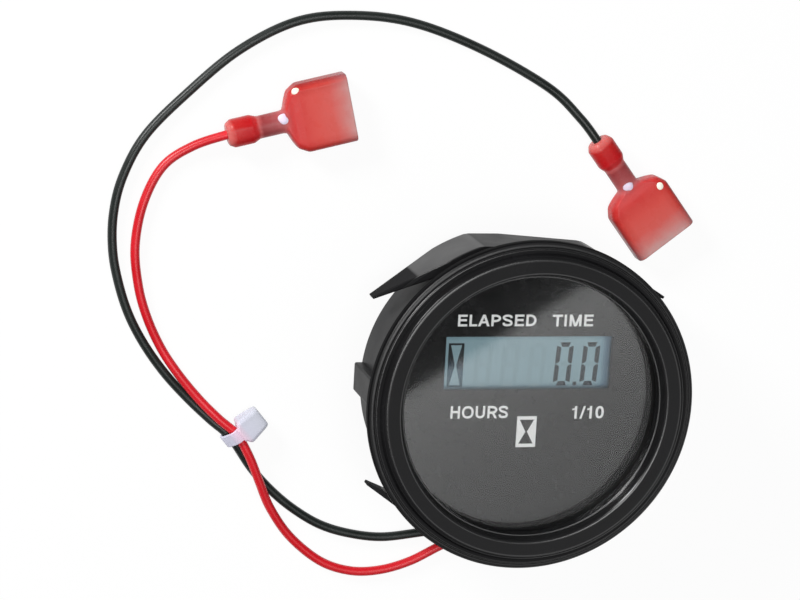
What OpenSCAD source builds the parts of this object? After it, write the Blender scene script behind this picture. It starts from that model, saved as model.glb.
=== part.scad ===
/* [Case] */
// Diameter of the can that goes through the panel
can_d = 51.6; // [48:0.1:54]
// Thickness of the can's wall
can_wall = 1.5; // [1.2:0.1:2]
// Height of the panel seat above the rear rim
seat_h = 18.5; // [17.5:0.5:24]
// Diameter of the flange in front of the panel
flange_d = 57.8; // [57:0.1:64]
// Thickness of the flange
flange_t = 2; // [1.6:0.1:2.4]
// Rounding of the flange's front edge
flange_edge_r = 0.4; // [0.2:0.05:0.6]
// Width of the inner shelf that carries the dial
shelf_w = 1.7; // [1.3:0.1:2]
// Thickness of the inner shelf
shelf_t = 1; // [0.8:0.1:1.4]
// Depth of the step that the rear cover sits against
cover_step = 0.5; // [0.3:0.05:0.7]
// Height of the snap bead that holds the rear cover
bead_h = 0.55; // [0.4:0.05:0.7]
// Width of the lead notch in the rear rim
notch_w = 11; // [10:0.5:14]
// Height of the lead notch in the rear rim
notch_h = 2.6; // [2:0.1:2.8]

/* [Locating key] */
// Width of the key on the can's left side
key_w = 6.6; // [5:0.1:8]
// Height of the key above the can
key_proud = 1.2; // [0.8:0.1:2.4]
// Gap between the rear rim and the key
key_rear = 0.8; // [0.4:0.1:3]
// Length of the sloping end of the key
key_slope = 1.7; // [0.8:0.1:2.4]

/* [Spring fingers] */
// Thickness of a finger
finger_t = 1.6; // [1.2:0.1:2]
// Gap between a finger and the can at the finger's curved part
finger_gap = 1; // [0.7:0.1:1.3]
// Half angle of the root block that joins two fingers to the can
finger_root = 9; // [6:1:14]
// Angle from the root's middle to the start of the straight arm
finger_kink = 32; // [26:1:36]
// Length of the straight arm of the two upper fingers
finger_arm = 13.8; // [10:0.2:15]
// Length of the straight arm of the two lower fingers
finger_arm_low = 12.6; // [10:0.2:15]
// Thickness of a finger at its tip
finger_tip_t = 0.5; // [0.4:0.1:1]
// Distance from the panel seat to the finger's front edge at the root
finger_front = 4.3; // [3:0.1:6]
// Distance from the panel seat to the finger's front edge at the tip
finger_tip_front = 9.5; // [8:0.1:11]
// Height of the finger at its tip
finger_tip_h = 2.5; // [2:0.1:4]
// Height of the fingers' rear edge above the rear rim
finger_rear = 3; // [2.9:0.1:4]
// Depth of the flat across the top of the root block
finger_flat = 0.7; // [0.3:0.1:1]

/* [Bezel ring] */
// Height of the crest above the flange
crest_h = 1.75; // [1.5:0.05:2.4]
// Diameter at the middle of the crest's rounding
crest_d = 52.4; // [51.6:0.1:52.8]
// Rounding of the crest
crest_r = 0.3; // [0.2:0.05:0.4]
// Diameter of the ring where it meets the flange
ring_foot_d = 55.8; // [55.2:0.1:56.2]
// Height of the ledge round the ring's foot
ledge_h = 0.4; // [0.3:0.05:0.7]
// Diameter of the ring's outer wall at the ledge
wall_foot_d = 54.1; // [53.6:0.1:54.8]
// Height of the inner lip above the flange
lip_h = 1.65; // [1.2:0.05:2]
// Opening of the inner lip
lip_d = 47.1; // [46.6:0.1:48.4]
// Rounding of the inner lip
lip_r = 0.25; // [0.15:0.05:0.4]
// Clear opening over the lens
sight_d = 45.6; // [44:0.1:46.4]
// Height of the step inside the opening above the lens
inner_step_h = 2; // [1.2:0.1:2.4]
// Width of the step inside the opening
inner_step_w = 0.3; // [0.2:0.05:0.4]
// Depth of the spigot that presses on the lens
spigot_h = 2.1; // [1.6:0.1:2.6]

/* [Lens and dial] */
// Thickness of the lens
lens_t = 1.5; // [1:0.1:2]
// Thickness of the gasket under the lens
gasket_t = 0.5; // [0.3:0.1:0.8]
// Thickness of the dial plate
dial_t = 0.8; // [0.5:0.1:1]
// Width of the display window
window_w = 30; // [26:0.5:31]
// Height of the display window
window_h = 9.5; // [8:0.5:10]
// Height of the window's middle above the dial's centre
window_y = 6.8; // [5:0.2:7]
// Radial play of the lens, gasket and dial in the can
front_play = 0.1; // [0.05:0.05:0.2]

/* [Display] */
// Thickness of each glass plate
glass_t = 0.9; // [0.7:0.1:1]
// Length of the glass plates
glass_w = 33; // [32:0.5:34]
// Height of the front plate, with its two contact ledges
glass_h = 14; // [13.6:0.2:14.4]
// Width of each contact ledge
ledge_w = 1.7; // [1.5:0.1:1.9]
// Thickness of the reflector film
film_t = 0.2; // [0.1:0.05:0.3]
// Wall of the display holder
holder_wall = 1.5; // [1.2:0.1:1.6]
// Play of the glass in its holder, on each side
glass_play = 0.2; // [0.1:0.05:0.3]
// Width of a contact strip
strip_w = 1.3; // [1:0.1:1.4]
// Diameter of the holder's pins
pin_d = 1.1; // [0.9:0.1:1.2]

/* [Circuit board] */
// Distance from the dial's back to the board's front face
board_drop = 4; // [3.6:0.1:4.6]
// Thickness of the board
board_t = 1.2; // [1:0.1:1.6]
// Gap between the board and the can
board_play = 0.4; // [0.3:0.05:0.6]
// Room behind the board for its parts
under_room = 4; // [3.9:0.1:4.6]
// Distance of the screw bosses from the axis
boss_at = 21.4; // [21:0.1:21.6]
// Diameter of the screw bosses
boss_d = 4.4; // [4:0.1:4.6]
// Diameter of the screws
screw_d = 1.7; // [1.4:0.1:2]
// Diameter of the screw heads
screw_head_d = 3.6; // [3.2:0.1:3.8]
// Height of the screw heads
screw_head_h = 1.3; // [1:0.1:1.5]
// Diameter of the lithium cell
cell_d = 20; // [16:0.5:20.5]
// Thickness of the lithium cell
cell_t = 3.2; // [2.5:0.1:3.3]
// Thickness of the cell's tabs
tab_t = 0.2; // [0.15:0.05:0.3]

/* [Rear cover] */
// Thickness of the cover
cover_t = 1.4; // [1.2:0.1:2]
// Radial play of the cover in the rear rim
cover_play = 0.1; // [0.05:0.05:0.2]
// Distance between the two leads in the grommet
lead_pitch = 3; // [2.6:0.1:3.4]
// Wall of the grommet round the leads
grommet_wall = 1.2; // [1:0.1:1.5]
// Overhang of the grommet's flanges
grommet_lip = 0.8; // [0.5:0.1:1]

/* [Leads] */
// Outer diameter of a lead
lead_d = 1.6; // [1.3:0.05:1.7]
// Play of a lead in its holes
lead_play = 0.08; // [0.06:0.01:0.1]

/* [Push-on terminals] */
// Overall length of a terminal
term_l = 22; // [20:0.5:25]
// Width of the flat housing
term_w = 12; // [11:0.2:13]
// Thickness of the flat housing
term_t = 4.6; // [4.4:0.1:5.2]
// Diameter of the wire barrel
barrel_d = 4.4; // [4.2:0.1:4.4]
// Length of the wire barrel
barrel_l = 5.4; // [4.5:0.1:6]
// Diameter of the neck
neck_d = 3.8; // [3.7:0.1:4]
// Where the housing begins
shoulder_at = 9.9; // [9.4:0.1:10.4]
// Length of the sloping shoulder corners
shoulder_l = 3.4; // [2.6:0.1:4]
// Width of the tab that the terminal takes
tab_w = 6.35; // [4.8:0.05:6.4]
// Thickness of the tab that the terminal takes
tab_h = 0.8; // [0.5:0.1:0.8]
// Sheet thickness of the contact
sheet_t = 0.4; // [0.3:0.05:0.45]
// Length of the contact's rolled part
roll_l = 7.6; // [6.5:0.1:8]
// Depth of the contact behind the mouth
roll_set = 1.2; // [0.6:0.1:2]

/* [Cable tie] */
// Width of the strap
strap_band_w = 2.7; // [2:0.1:3]
// Thickness of the strap
strap_band_t = 0.6; // [0.5:0.1:1]
// Length of the head across the leads
tie_head_l = 4.2; // [3.6:0.1:5]
// Width of the head along the leads
tie_head_w = 4.6; // [3.4:0.1:5]
// Height of the head
tie_head_h = 3.8; // [3:0.1:4.2]

/* [Hidden] */
$fn = 96;
// Overlap that joins two forms into one solid
join = 0.02;
can_r = can_d / 2;
bore_r = can_r - can_wall;
rim_r = bore_r + cover_step;
flange_top = seat_h + flange_t;

// Stack behind the bezel, from the front to the rear
lens_top = flange_top - spigot_h;
lens_bottom = lens_top - lens_t;
dial_top = lens_bottom - gasket_t;
shelf_top = dial_top - dial_t;
shelf_bottom = shelf_top - shelf_t;
front_r = bore_r - front_play;
sight_r = sight_d / 2;
rear_glass_top = shelf_top - glass_t;
film_top = rear_glass_top - glass_t;
holder_floor = film_top - film_t;
board_top = shelf_top - board_drop;
board_bottom = board_top - board_t;
cover_in = board_bottom - under_room;
cover_out = cover_in - cover_t;
bead_gap = 0.05;
// Part of a rounding's radius at which the ring's straight sides run into it
run_in = 0.96;

// Board
board_r = bore_r - board_play;
boss_angles = [90, 200, 340];
boss_hole_d = screw_d + 0.1;
boss_hole_h = 0.9 * (shelf_bottom - board_top);
screw_reach = board_t + 0.8 * (shelf_bottom - board_top);
screw_slot_w = 0.45;
cell_at = [0, 6];
cell_step = 0.3;
cell_tab_w = 4;
chip_at = [0, -10.5];
crystal_at = [10.5, -14.5];
crystal_turn = 20;
cap_at = [15.2, 0.6];
rectifier_at = [-11.5, -11];
disc_at = [-5, -18];
resistor_x = 12.8;
resistor_rows = [-5, -8.6];
joint_h = 1;
joint_d = 2.4;

// Display holder and its contact strips
pocket_w = glass_w + 2 * glass_play;
pocket_h = glass_h + 2 * glass_play;
pin_x = pocket_w / 2 + holder_wall / 2;
strip_l = glass_w - 2;
strip_y = glass_h / 2 - ledge_w / 2;
strip_play = 0.1;

// Fingers
finger_in_r = can_r + finger_gap;
finger_out_r = finger_in_r + finger_t;
arm_step = 0.1;
arm_overlap = 2;
finger_top = seat_h - finger_front;
finger_tip_top = seat_h - finger_tip_front;

// Grommet and leads
cover_rib_r = 7;
cover_rib_h = 0.3;
lead_r = lead_d / 2;
lead_hole_d = lead_d + 2 * lead_play;
lead_lift = 0.05;
lie = lead_r + lead_lift;
grommet_at = [4.5, -14];
grommet_w = lead_hole_d + 2 * grommet_wall;
grommet_lip_in = 0.9;
grommet_lip_out = 0.3;
black_exit_x = grommet_at[0] - lead_pitch / 2;
red_exit_x = grommet_at[0] + lead_pitch / 2;
joint_tip = board_bottom - joint_h;

// Terminals: place of the wire end and direction on the table
term_axis_z = term_t / 2;
black_term_at = [14.5, 43.2];
black_term_dir = -52;
red_term_at = [-51.6, 43.7];
red_term_dir = 14;
wire_stop = barrel_l - 1.2;
cavity_w = tab_w + 4 * sheet_t + 0.4;
cavity_h = tab_h + 3 * sheet_t + 0.6;
cavity_from = shoulder_at + 2.2;
crimp_d = neck_d - 0.7;
barrel_edge = 0.5;
gate_at = [12.9, 4.3];
gate_turn = 30;
gate_size = [1.5, 0.9];
crimp_l = 4.2;

// Cable tie: middle of the two leads in it and their direction on the table
tie_at = [-48.6, -9.6];
tie_dir = 130;
tie_black = [-0.42, 1.8];
tie_red = [0.74, 3];
tie_play = 0.24;
tie_head_at = [tie_red[0] + lead_r + tie_play + 0.2, 0.5];

// Leads, as points of a smooth path from the board to the terminals
function term_point(at, dir, along) =
    [at[0] + along * cos(dir), at[1] + along * sin(dir), term_axis_z];
function tie_point(p) =
    [tie_at[0] + p[0] * sin(tie_dir), tie_at[1] - p[0] * cos(tie_dir), p[1]];
black_route = [
    [black_exit_x, -14, joint_tip], [black_exit_x, -14, 7.4], [black_exit_x, -14, 6],
    [black_exit_x, -14, 4.6], [3, -14.5, 2.8], [2.9, -16, 1.4], [2.6, -18.3, lie],
    [1.6, -21.2, lie],
    [-0.8, -24, lie], [-4.2, -26.2, lie], [-8.5, -27.6, lie], [-14, -28.4, lie],
    [-20.5, -29, lie], [-26.5, -28.2, lie], [-32, -26.4, lie], [-37.2, -23.2, lie],
    [-41.5, -19.5, lie], [-45, -15.5, 1.15], tie_point(tie_black), [-52.5, -6.8, 1.3],
    [-56.4, -3.2, lie], [-60.6, 1.3, lie], [-64.3, 6.3, lie], [-67.2, 11.5, lie],
    [-69.2, 17, lie], [-70.5, 23, lie], [-70.6, 29.5, lie], [-69.2, 36, lie],
    [-65.5, 43, lie], [-58.5, 50, lie], [-50, 57.5, lie], [-40.5, 62.8, lie],
    [-31, 64.3, lie], [-20, 63.3, lie], [-7.5, 59, lie], [5, 52.6, 0.9],
    [11, 47.4, 1.6],
    term_point(black_term_at, black_term_dir, 0),
    term_point(black_term_at, black_term_dir, wire_stop)];
red_route = [
    [red_exit_x, -14, joint_tip], [red_exit_x, -14, 7.4], [red_exit_x, -14, 6],
    [red_exit_x, -14, 4.6], [6, -14.5, 2.8], [6, -16, 1.4], [5.8, -18.3, lie],
    [5, -21.5, lie],
    [3, -24.3, lie], [-0.2, -26.6, lie], [-4.5, -28.7, lie], [-9.6, -31, lie],
    [-15, -33.7, lie], [-20.5, -35.2, lie], [-26, -35.2, lie], [-31.6, -33.2, lie],
    [-37.2, -28.6, lie], [-41.2, -23, 1.6], [-43.6, -17.8, 2.6], [-45.6, -13.2, 3.05],
    tie_point(tie_red), [-51.4, -6.2, 2.65], [-54.9, -2.8, 1.8], [-58.6, 1.6, 1.4],
    [-61.6, 6, lie], [-64.2, 11.4, lie], [-65.9, 17, lie], [-66.7, 24, lie],
    [-65.5, 31.5, lie], [-62.4, 37.8, lie], [-57.5, 41.4, 1.3],
    term_point(red_term_at, red_term_dir, 0),
    term_point(red_term_at, red_term_dir, wire_stop)];
ring_step = 5.2;
lead_sides = 8;

// Helpers

// Ring between two radii and two heights
module ring(r_in, r_out, z0, z1) {
    translate([0, 0, z0]) difference() {
        cylinder(r = r_out, h = z1 - z0);
        translate([0, 0, -1]) cylinder(r = r_in, h = z1 - z0 + 2);
    }
}

// Flat bar with round ends, centred, its length along X
module slot_2d(length, width) {
    square([length - width, width], center = true);
    for (s = [-1, 1])
        translate([s * (length - width) / 2, 0]) circle(d = width);
}

// Box centred in X and Y, between two heights
module slab(w, d, z0, z1) {
    translate([-w / 2, -d / 2, z0]) cube([w, d, z1 - z0]);
}

// Point of a smooth path between p1 and p2
function path_point(p0, p1, p2, p3, t) =
    0.5 * (2 * p1 + (p2 - p0) * t + (2 * p0 - 5 * p1 + 4 * p2 - p3) * t * t
        + (3 * p1 - p0 - 3 * p2 + p3) * t * t * t);

function path_samples(route) =
    let (n = len(route))
    [for (i = [0:n - 2])
        let (p1 = route[i], p2 = route[i + 1],
            p0 = i > 0 ? route[i - 1] : 2 * p1 - p2,
            p3 = i < n - 2 ? route[i + 2] : 2 * p2 - p1,
            parts = max(1, round(norm(p2 - p1) / ring_step)))
        for (k = [0:parts - 1]) path_point(p0, p1, p2, p3, k / parts),
     route[n - 1]];

function unit(v) = v / norm(v);
function across(v, t) = unit(v - (v * t) * t);

// Round tube along a route, with its sides carried from ring to ring
module tube(route, r, start_side) {
    c = path_samples(route);
    n = len(c);
    t = [for (i = [0:n - 1]) unit(c[min(i + 1, n - 1)] - c[max(i - 1, 0)])];
    u = [for (i = 0, s = across(start_side, t[0]); i < n;
        i = i + 1, s = i < n ? across(s, t[i]) : s) s];
    points = [for (i = [0:n - 1], k = [0:lead_sides - 1])
        let (a = 360 * k / lead_sides)
        c[i] + r * (cos(a) * u[i] + sin(a) * cross(t[i], u[i]))];
    sides = [for (i = [0:n - 2], k = [0:lead_sides - 1])
        let (k2 = (k + 1) % lead_sides)
        [i * lead_sides + k2, i * lead_sides + k,
         (i + 1) * lead_sides + k, (i + 1) * lead_sides + k2]];
    first = [for (k = [0:lead_sides - 1]) k];
    last = [for (k = [lead_sides - 1:-1:0]) (n - 1) * lead_sides + k];
    polyhedron(points, concat(sides, [first, last]));
}

// Case

// Half section of the turned part of the case
module case_section() {
    edge = flange_d / 2 - flange_edge_r;
    bead_top = cover_out - bead_gap;
    polygon([[rim_r, 0], [can_r, 0], [can_r, seat_h], [flange_d / 2, seat_h],
        [flange_d / 2, flange_top - flange_edge_r], [edge, flange_top - flange_edge_r],
        [edge, flange_top], [bore_r, flange_top], [bore_r, shelf_top],
        [bore_r - shelf_w, shelf_top], [bore_r - shelf_w, shelf_bottom],
        [bore_r, shelf_bottom], [bore_r, cover_in], [rim_r, cover_in], [rim_r, bead_top],
        [rim_r - cover_step * 0.6, bead_top], [rim_r, bead_top - bead_h]]);
    translate([edge, flange_top - flange_edge_r]) circle(r = flange_edge_r);
}

// Arc and tapering arm of the finger at the top left
module finger(arm) {
    arm_t = finger_t - 2 * arm_step;
    past = 1;
    top_h = finger_top - finger_rear;
    translate([0, 0, finger_rear]) linear_extrude(top_h) difference() {
        intersection() {
            difference() {
                circle(r = finger_out_r);
                circle(r = finger_in_r);
            }
            polygon([[0, 0], [0, 2 * can_r],
                2 * can_r * [-tan(finger_kink), 1]]);
        }
        translate([-can_r, finger_out_r - finger_flat]) square([can_d, can_r]);
    }
    rotate([0, 0, 90 + finger_kink]) translate([finger_in_r + arm_step, 0, 0])
        intersection() {
            translate([-past, 0, 0]) rotate([90, 0, 90]) linear_extrude(arm_t + 2 * past)
                polygon([[-arm_overlap, finger_rear], [0, finger_rear],
                    [arm, finger_tip_top - finger_tip_h], [arm, finger_tip_top],
                    [0, finger_top], [-arm_overlap, finger_top]]);
            linear_extrude(finger_top + past)
                polygon([[0, -2 * arm_overlap], [arm_t, -2 * arm_overlap], [arm_t, arm + past],
                    [(arm_t - finger_tip_t) * (arm + past) / arm, arm + past], [0, 0]]);
        }
}

module finger_root_block() {
    translate([0, 0, finger_rear]) linear_extrude(finger_top - finger_rear)
        difference() {
            intersection() {
                circle(r = finger_in_r + finger_t / 2);
                polygon([[0, 0], 2 * can_r * [tan(finger_root), 1],
                    2 * can_r * [-tan(finger_root), 1]]);
            }
            circle(r = can_r - can_wall / 2);
        }
}

// Key with a square upper end and a sloping lower end
module key() {
    inner = -sqrt(can_r * can_r - key_w * key_w / 4) + can_wall / 2;
    outer = -can_r - key_proud;
    translate([0, 0, key_rear]) linear_extrude(seat_h - key_rear)
        polygon([[inner, key_w / 2], [outer, key_w / 2],
            [outer, -key_w / 2 + key_slope], [inner, -key_w / 2 - key_slope / 4]]);
}

module bosses() {
    boss_h = shelf_bottom - board_top;
    for (a = boss_angles) rotate([0, 0, a])
        translate([boss_at, 0, board_top]) {
            cylinder(d = boss_d, h = boss_h + join);
            translate([0, -boss_d / 4, 0])
                cube([bore_r - boss_at + can_wall / 2, boss_d / 2, boss_h + join]);
        }
}

module case() color("#26282a") difference() {
    union() {
        rotate_extrude() case_section();
        for (s = [0, 1]) mirror([s, 0, 0]) {
            finger(finger_arm);
            mirror([0, 1, 0]) finger(finger_arm_low);
        }
        for (s = [0, 1]) mirror([0, s, 0]) finger_root_block();
        key();
        bosses();
    }
    for (a = boss_angles) rotate([0, 0, a])
        translate([boss_at, 0, board_top - 1])
            cylinder(d = boss_hole_d, h = 1 + boss_hole_h);
    translate([-notch_w / 2, -can_r - 1, -1])
        cube([notch_w, can_r - rim_r + 3, notch_h + 1]);
}

// Front

module bezel_ring() color("#2b2c2e") {
    lip_c = [lip_d / 2 + lip_r, flange_top + lip_h - lip_r];
    crest_c = [crest_d / 2, flange_top + crest_h - crest_r];
    run = crest_c - lip_c;
    lean = atan2(run[1], run[0]) + acos((lip_r - crest_r) / norm(run));
    up = run_in * [cos(lean), sin(lean)];
    out = [run_in, 0];
    ledge = flange_top + ledge_h;
    step = lens_top + inner_step_h;
    rotate_extrude() {
        polygon([[sight_r, lens_top], [front_r, lens_top], [front_r, flange_top],
            [ring_foot_d / 2, flange_top], [ring_foot_d / 2, ledge],
            [wall_foot_d / 2, ledge], crest_c + crest_r * out, crest_c,
            crest_c + crest_r * up, lip_c + lip_r * up, lip_c, lip_c - lip_r * out,
            [sight_r + inner_step_w, step], [sight_r, step]]);
        translate(crest_c) circle(r = crest_r);
        translate(lip_c) circle(r = lip_r);
    }
}

module lens() color("#c8d0d4", 0.4)
    translate([0, 0, lens_bottom]) cylinder(r = front_r, h = lens_t);

module lens_gasket() color("#1a1a1a")
    ring(sight_r, front_r, dial_top, lens_bottom);

module dial_plate() color("#1e1f21") difference() {
    translate([0, 0, shelf_top]) cylinder(r = front_r, h = dial_t);
    translate([0, window_y, 0]) slab(window_w, window_h, shelf_top - 1, dial_top + 1);
}

// Display

module lcd_front_glass() color("#a9bfc4", 0.8)
    translate([0, window_y, 0]) slab(glass_w, glass_h, rear_glass_top, shelf_top);

module lcd_rear_glass() color("#94acb2")
    translate([0, window_y, 0])
        slab(glass_w, glass_h - 2 * ledge_w, film_top, rear_glass_top);

module lcd_reflector() color("#c9d2d2")
    translate([0, window_y, 0])
        slab(glass_w, glass_h - 2 * ledge_w, holder_floor, film_top);

module lcd_holder() color("#e4e2da") translate([0, window_y, 0]) {
    difference() {
        slab(pocket_w + 2 * holder_wall, pocket_h + 2 * holder_wall,
            board_top, shelf_bottom);
        slab(pocket_w, pocket_h, holder_floor, shelf_top);
        for (s = [-1, 1]) translate([0, s * strip_y, 0])
            slab(strip_l + 4 * strip_play, strip_w + 2 * strip_play, board_top - 1, shelf_top);
    }
    for (s = [-1, 1]) translate([s * pin_x, 0, board_bottom])
        cylinder(d = pin_d, h = board_t + join);
}

module contact_strips() color("#3b3b40")
    for (s = [-1, 1]) translate([0, window_y + s * strip_y, 0])
        slab(strip_l, strip_w, board_top, rear_glass_top);

// Board

module circuit_board() color("#2f6b3c") difference() {
    translate([0, 0, board_bottom]) cylinder(r = board_r, h = board_t);
    for (a = boss_angles) rotate([0, 0, a])
        translate([boss_at, 0, board_bottom - 1])
            cylinder(d = screw_d + 0.2, h = board_t + 2);
    for (s = [-1, 1]) translate([s * pin_x, window_y, board_bottom - 1])
        cylinder(d = pin_d + 0.1, h = board_t + 2);
}

module board_screws() color("#b9bcc0")
    for (a = boss_angles) rotate([0, 0, a]) translate([boss_at, 0, board_bottom]) {
        translate([0, 0, -screw_head_h]) difference() {
            cylinder(d = screw_head_d, h = screw_head_h);
            for (q = [0, 90]) rotate([0, 0, q])
                slab(screw_head_d * 0.6, screw_slot_w, -1, screw_head_h * 0.45);
        }
        cylinder(d = screw_d, h = screw_reach);
    }

// Flat chip with rows of legs on its four sides, on the board's front
module controller_chip() color("#2c2c30") {
    side = 10;
    body_h = 1.6;
    lift = 0.1;
    legs = 9;
    pitch = 1;
    leg_w = 0.4;
    leg_l = 1.2;
    leg_t = 0.25;
    translate([chip_at[0], chip_at[1], board_top]) {
        slab(side, side, lift, lift + body_h);
        for (q = [0:90:270], i = [0:legs - 1]) rotate([0, 0, q])
            translate([(i - (legs - 1) / 2) * pitch, side / 2 + leg_l / 3, 0]) {
                slab(leg_w, leg_l, 0, leg_t);
                translate([0, -leg_l / 4, 0]) slab(leg_w, leg_w, 0, body_h / 2);
            }
    }
}

// Small tuning-fork crystal lying on the board's front
module quartz_crystal() color("#c2c4c6") {
    can = 2.1;
    length = 6.2;
    wire_d = 0.35;
    wire_l = 1.6;
    wire_in = 0.2;
    translate([crystal_at[0], crystal_at[1], board_top + can / 2])
        rotate([0, 90, crystal_turn]) {
            cylinder(d = can, h = length);
            for (s = [-1, 1]) translate([0, s * can / 5, -wire_l])
                cylinder(d = wire_d, h = wire_l + wire_in);
        }
}

module filter_capacitor() color("#b4b7bb") {
    cap_d = 6.3;
    cap_h = 3;
    base_h = 0.6;
    base_w = cap_d + 0.3;
    vent_w = 0.3;
    vent_h = 0.2;
    translate([cap_at[0], cap_at[1], board_bottom - cap_h]) {
        difference() {
            cylinder(d = cap_d, h = cap_h - base_h + join);
            slab(cap_d * 0.7, vent_w, -1, vent_h);
        }
        slab(base_w, base_w, cap_h - base_h, cap_h);
    }
}

module rectifier() color("#2d2d31") {
    body = [8.4, 6.4, 2.5];
    lift = 0.2;
    leg = [1, 1.6, 0.3];
    translate([rectifier_at[0], rectifier_at[1], board_bottom]) {
        slab(body[0], body[1], -lift - body[2], -lift);
        for (sx = [-1, 1], sy = [-1, 1])
            translate([sx * 0.3 * body[0], sy * (body[1] + leg[1] / 2) / 2, 0])
                slab(leg[0], leg[1], -leg[2], 0);
    }
}

module surge_disc() color("#4763a8") {
    disc_d = 7;
    disc_t = 2;
    lift = 0.6;
    wire_d = 0.6;
    translate([disc_at[0], disc_at[1], board_bottom]) {
        translate([0, 0, -lift - disc_t]) cylinder(d = disc_d, h = disc_t);
        for (s = [-1, 1]) translate([s * disc_d * 0.36, 0, -lift - join])
            cylinder(d = wire_d, h = lift + join);
    }
}

// Two resistors lying under the board, each on its bent wires
module dropping_resistors() color("#c9b48a") {
    body_d = 2.3;
    body_l = 6.2;
    wire_d = 0.6;
    wire_out = 1.2;
    lift = 0.3;
    for (y = resistor_rows)
        translate([resistor_x, y, board_bottom - body_d / 2 - lift]) {
            rotate([0, 90, 0]) {
                cylinder(d = body_d, h = body_l, center = true);
                cylinder(d = wire_d, h = body_l + 2 * wire_out + wire_d, center = true);
            }
            for (s = [-1, 1])
                translate([s * (body_l / 2 + wire_out), 0, -wire_d / 2])
                    cylinder(d = wire_d, h = body_d / 2 + lift + wire_d / 2);
        }
}

module lithium_cell() color("#c6c8c9")
    translate([cell_at[0], cell_at[1], board_bottom - tab_t - cell_t]) {
        cylinder(d = cell_d - 2, h = cell_step + join);
        translate([0, 0, cell_step]) cylinder(d = cell_d, h = cell_t - cell_step);
    }

// Welded tabs: a flat one over the cell, and one under it that turns up to the board
module cell_tabs() color("#d2d3d0") translate([cell_at[0], cell_at[1], 0]) {
    reach = cell_d / 2 + 1;
    foot = board_bottom - 2 * tab_t - cell_t;
    slab(cell_d * 0.7, cell_tab_w, board_bottom - tab_t, board_bottom);
    translate([-reach, -cell_tab_w / 2, foot]) {
        cube([reach + cell_tab_w, cell_tab_w, tab_t]);
        cube([tab_t, cell_tab_w, board_bottom - foot]);
    }
}

module lead_joints() color("#cfd1d3")
    for (x = [black_exit_x, red_exit_x])
        translate([x, grommet_at[1], joint_tip])
            cylinder(d1 = lead_d, d2 = joint_d, h = joint_h);

// Rear

module back_cover() color("#242527") difference() {
    union() {
        translate([0, 0, cover_out]) cylinder(r = rim_r - cover_play, h = cover_t);
        ring(cover_rib_r, cover_rib_r + 1, cover_in - join, cover_in + cover_rib_h);
    }
    translate([grommet_at[0], grommet_at[1], cover_out - 1])
        linear_extrude(cover_t + 2)
            slot_2d(lead_pitch + grommet_w, grommet_w);
}

module lead_grommet() color("#202022")
    translate([grommet_at[0], grommet_at[1], 0]) difference() {
        length = lead_pitch + grommet_w;
        union() {
            translate([0, 0, cover_out]) linear_extrude(cover_t)
                slot_2d(length, grommet_w);
            translate([0, 0, cover_in]) linear_extrude(grommet_lip_in)
                slot_2d(length + 2 * grommet_lip, grommet_w + 2 * grommet_lip);
            translate([0, 0, cover_out - grommet_lip_out])
                linear_extrude(grommet_lip_out)
                    slot_2d(length + grommet_lip, grommet_w + grommet_lip);
        }
        for (s = [-1, 1])
            translate([s * lead_pitch / 2, 0, cover_out - grommet_lip_out - 1])
                cylinder(d = lead_hole_d, h = cover_t + grommet_lip_out + 4);
    }

// Leads and what is on them

module black_lead() color("#23272a") tube(black_route, lead_r, [1, 0, 0]);

module red_lead() color("#c8202b") tube(red_route, lead_r, [1, 0, 0]);

// Local frame of a terminal: wire end at the origin, mouth along +X, flat in Z
module at_terminal(at, dir) {
    translate([at[0], at[1], term_axis_z]) rotate([0, 0, dir]) children();
}

// Plan of the flat housing
module housing_plan() {
    half = term_w / 2;
    corner = 0.8;
    step = [0.9, half - 1.2];
    polygon([[shoulder_at, -neck_d / 2], [shoulder_at + step[0], -step[1]],
        [shoulder_at + shoulder_l, -half], [term_l - corner, -half],
        [term_l, -half + corner / 2], [term_l, half - corner / 2],
        [term_l - corner, half], [shoulder_at + shoulder_l, half],
        [shoulder_at + step[0], step[1]], [shoulder_at, neck_d / 2]]);
}

// Section of the flat housing: a rectangle with round long edges
module housing_section() {
    round_r = term_t * 0.36;
    square([term_w - 2 * round_r, term_t], center = true);
    square([term_w, term_t - 2 * round_r], center = true);
    for (sx = [-1, 1], sy = [-1, 1])
        translate([sx * (term_w / 2 - round_r), sy * (term_t / 2 - round_r)])
            circle(r = round_r);
}

module terminal_sleeve() difference() {
    union() {
        rotate([0, 90, 0]) {
            cylinder(d1 = barrel_d - barrel_edge, d2 = barrel_d, h = barrel_edge);
            translate([0, 0, barrel_edge])
                cylinder(d = barrel_d, h = barrel_l - 2 * barrel_edge);
            translate([0, 0, barrel_l - barrel_edge])
                cylinder(d1 = barrel_d, d2 = neck_d, h = barrel_edge);
            cylinder(d = neck_d, h = shoulder_at + 1);
        }
        intersection() {
            translate([0, 0, -term_t]) linear_extrude(2 * term_t) housing_plan();
            rotate([90, 0, 90]) linear_extrude(term_l + 1) housing_section();
            translate([0, term_w, 0]) rotate([90, 0, 0]) linear_extrude(2 * term_w)
                polygon([[shoulder_at, -neck_d / 2], [cavity_from, -term_t / 2],
                    [term_l + 1, -term_t / 2], [term_l + 1, term_t / 2],
                    [cavity_from, term_t / 2], [shoulder_at, neck_d / 2]]);
        }
    }
    // Hole for the lead, room for the crimp, then the cavity for the contact
    rotate([0, 90, 0]) {
        translate([0, 0, -1]) cylinder(d = lead_hole_d, h = wire_stop + 1.1);
        translate([0, 0, wire_stop])
            cylinder(d = crimp_d + 0.1, h = cavity_from - wire_stop + 1);
    }
    translate([cavity_from, -cavity_w / 2, -cavity_h / 2])
        cube([term_l - cavity_from + 1, cavity_w, cavity_h]);
    // Small moulded gate hole at the left shoulder
    translate([gate_at[0], gate_at[1], -term_t]) rotate([0, 0, gate_turn])
        linear_extrude(2 * term_t) slot_2d(gate_size[0], gate_size[1]);
}

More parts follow.
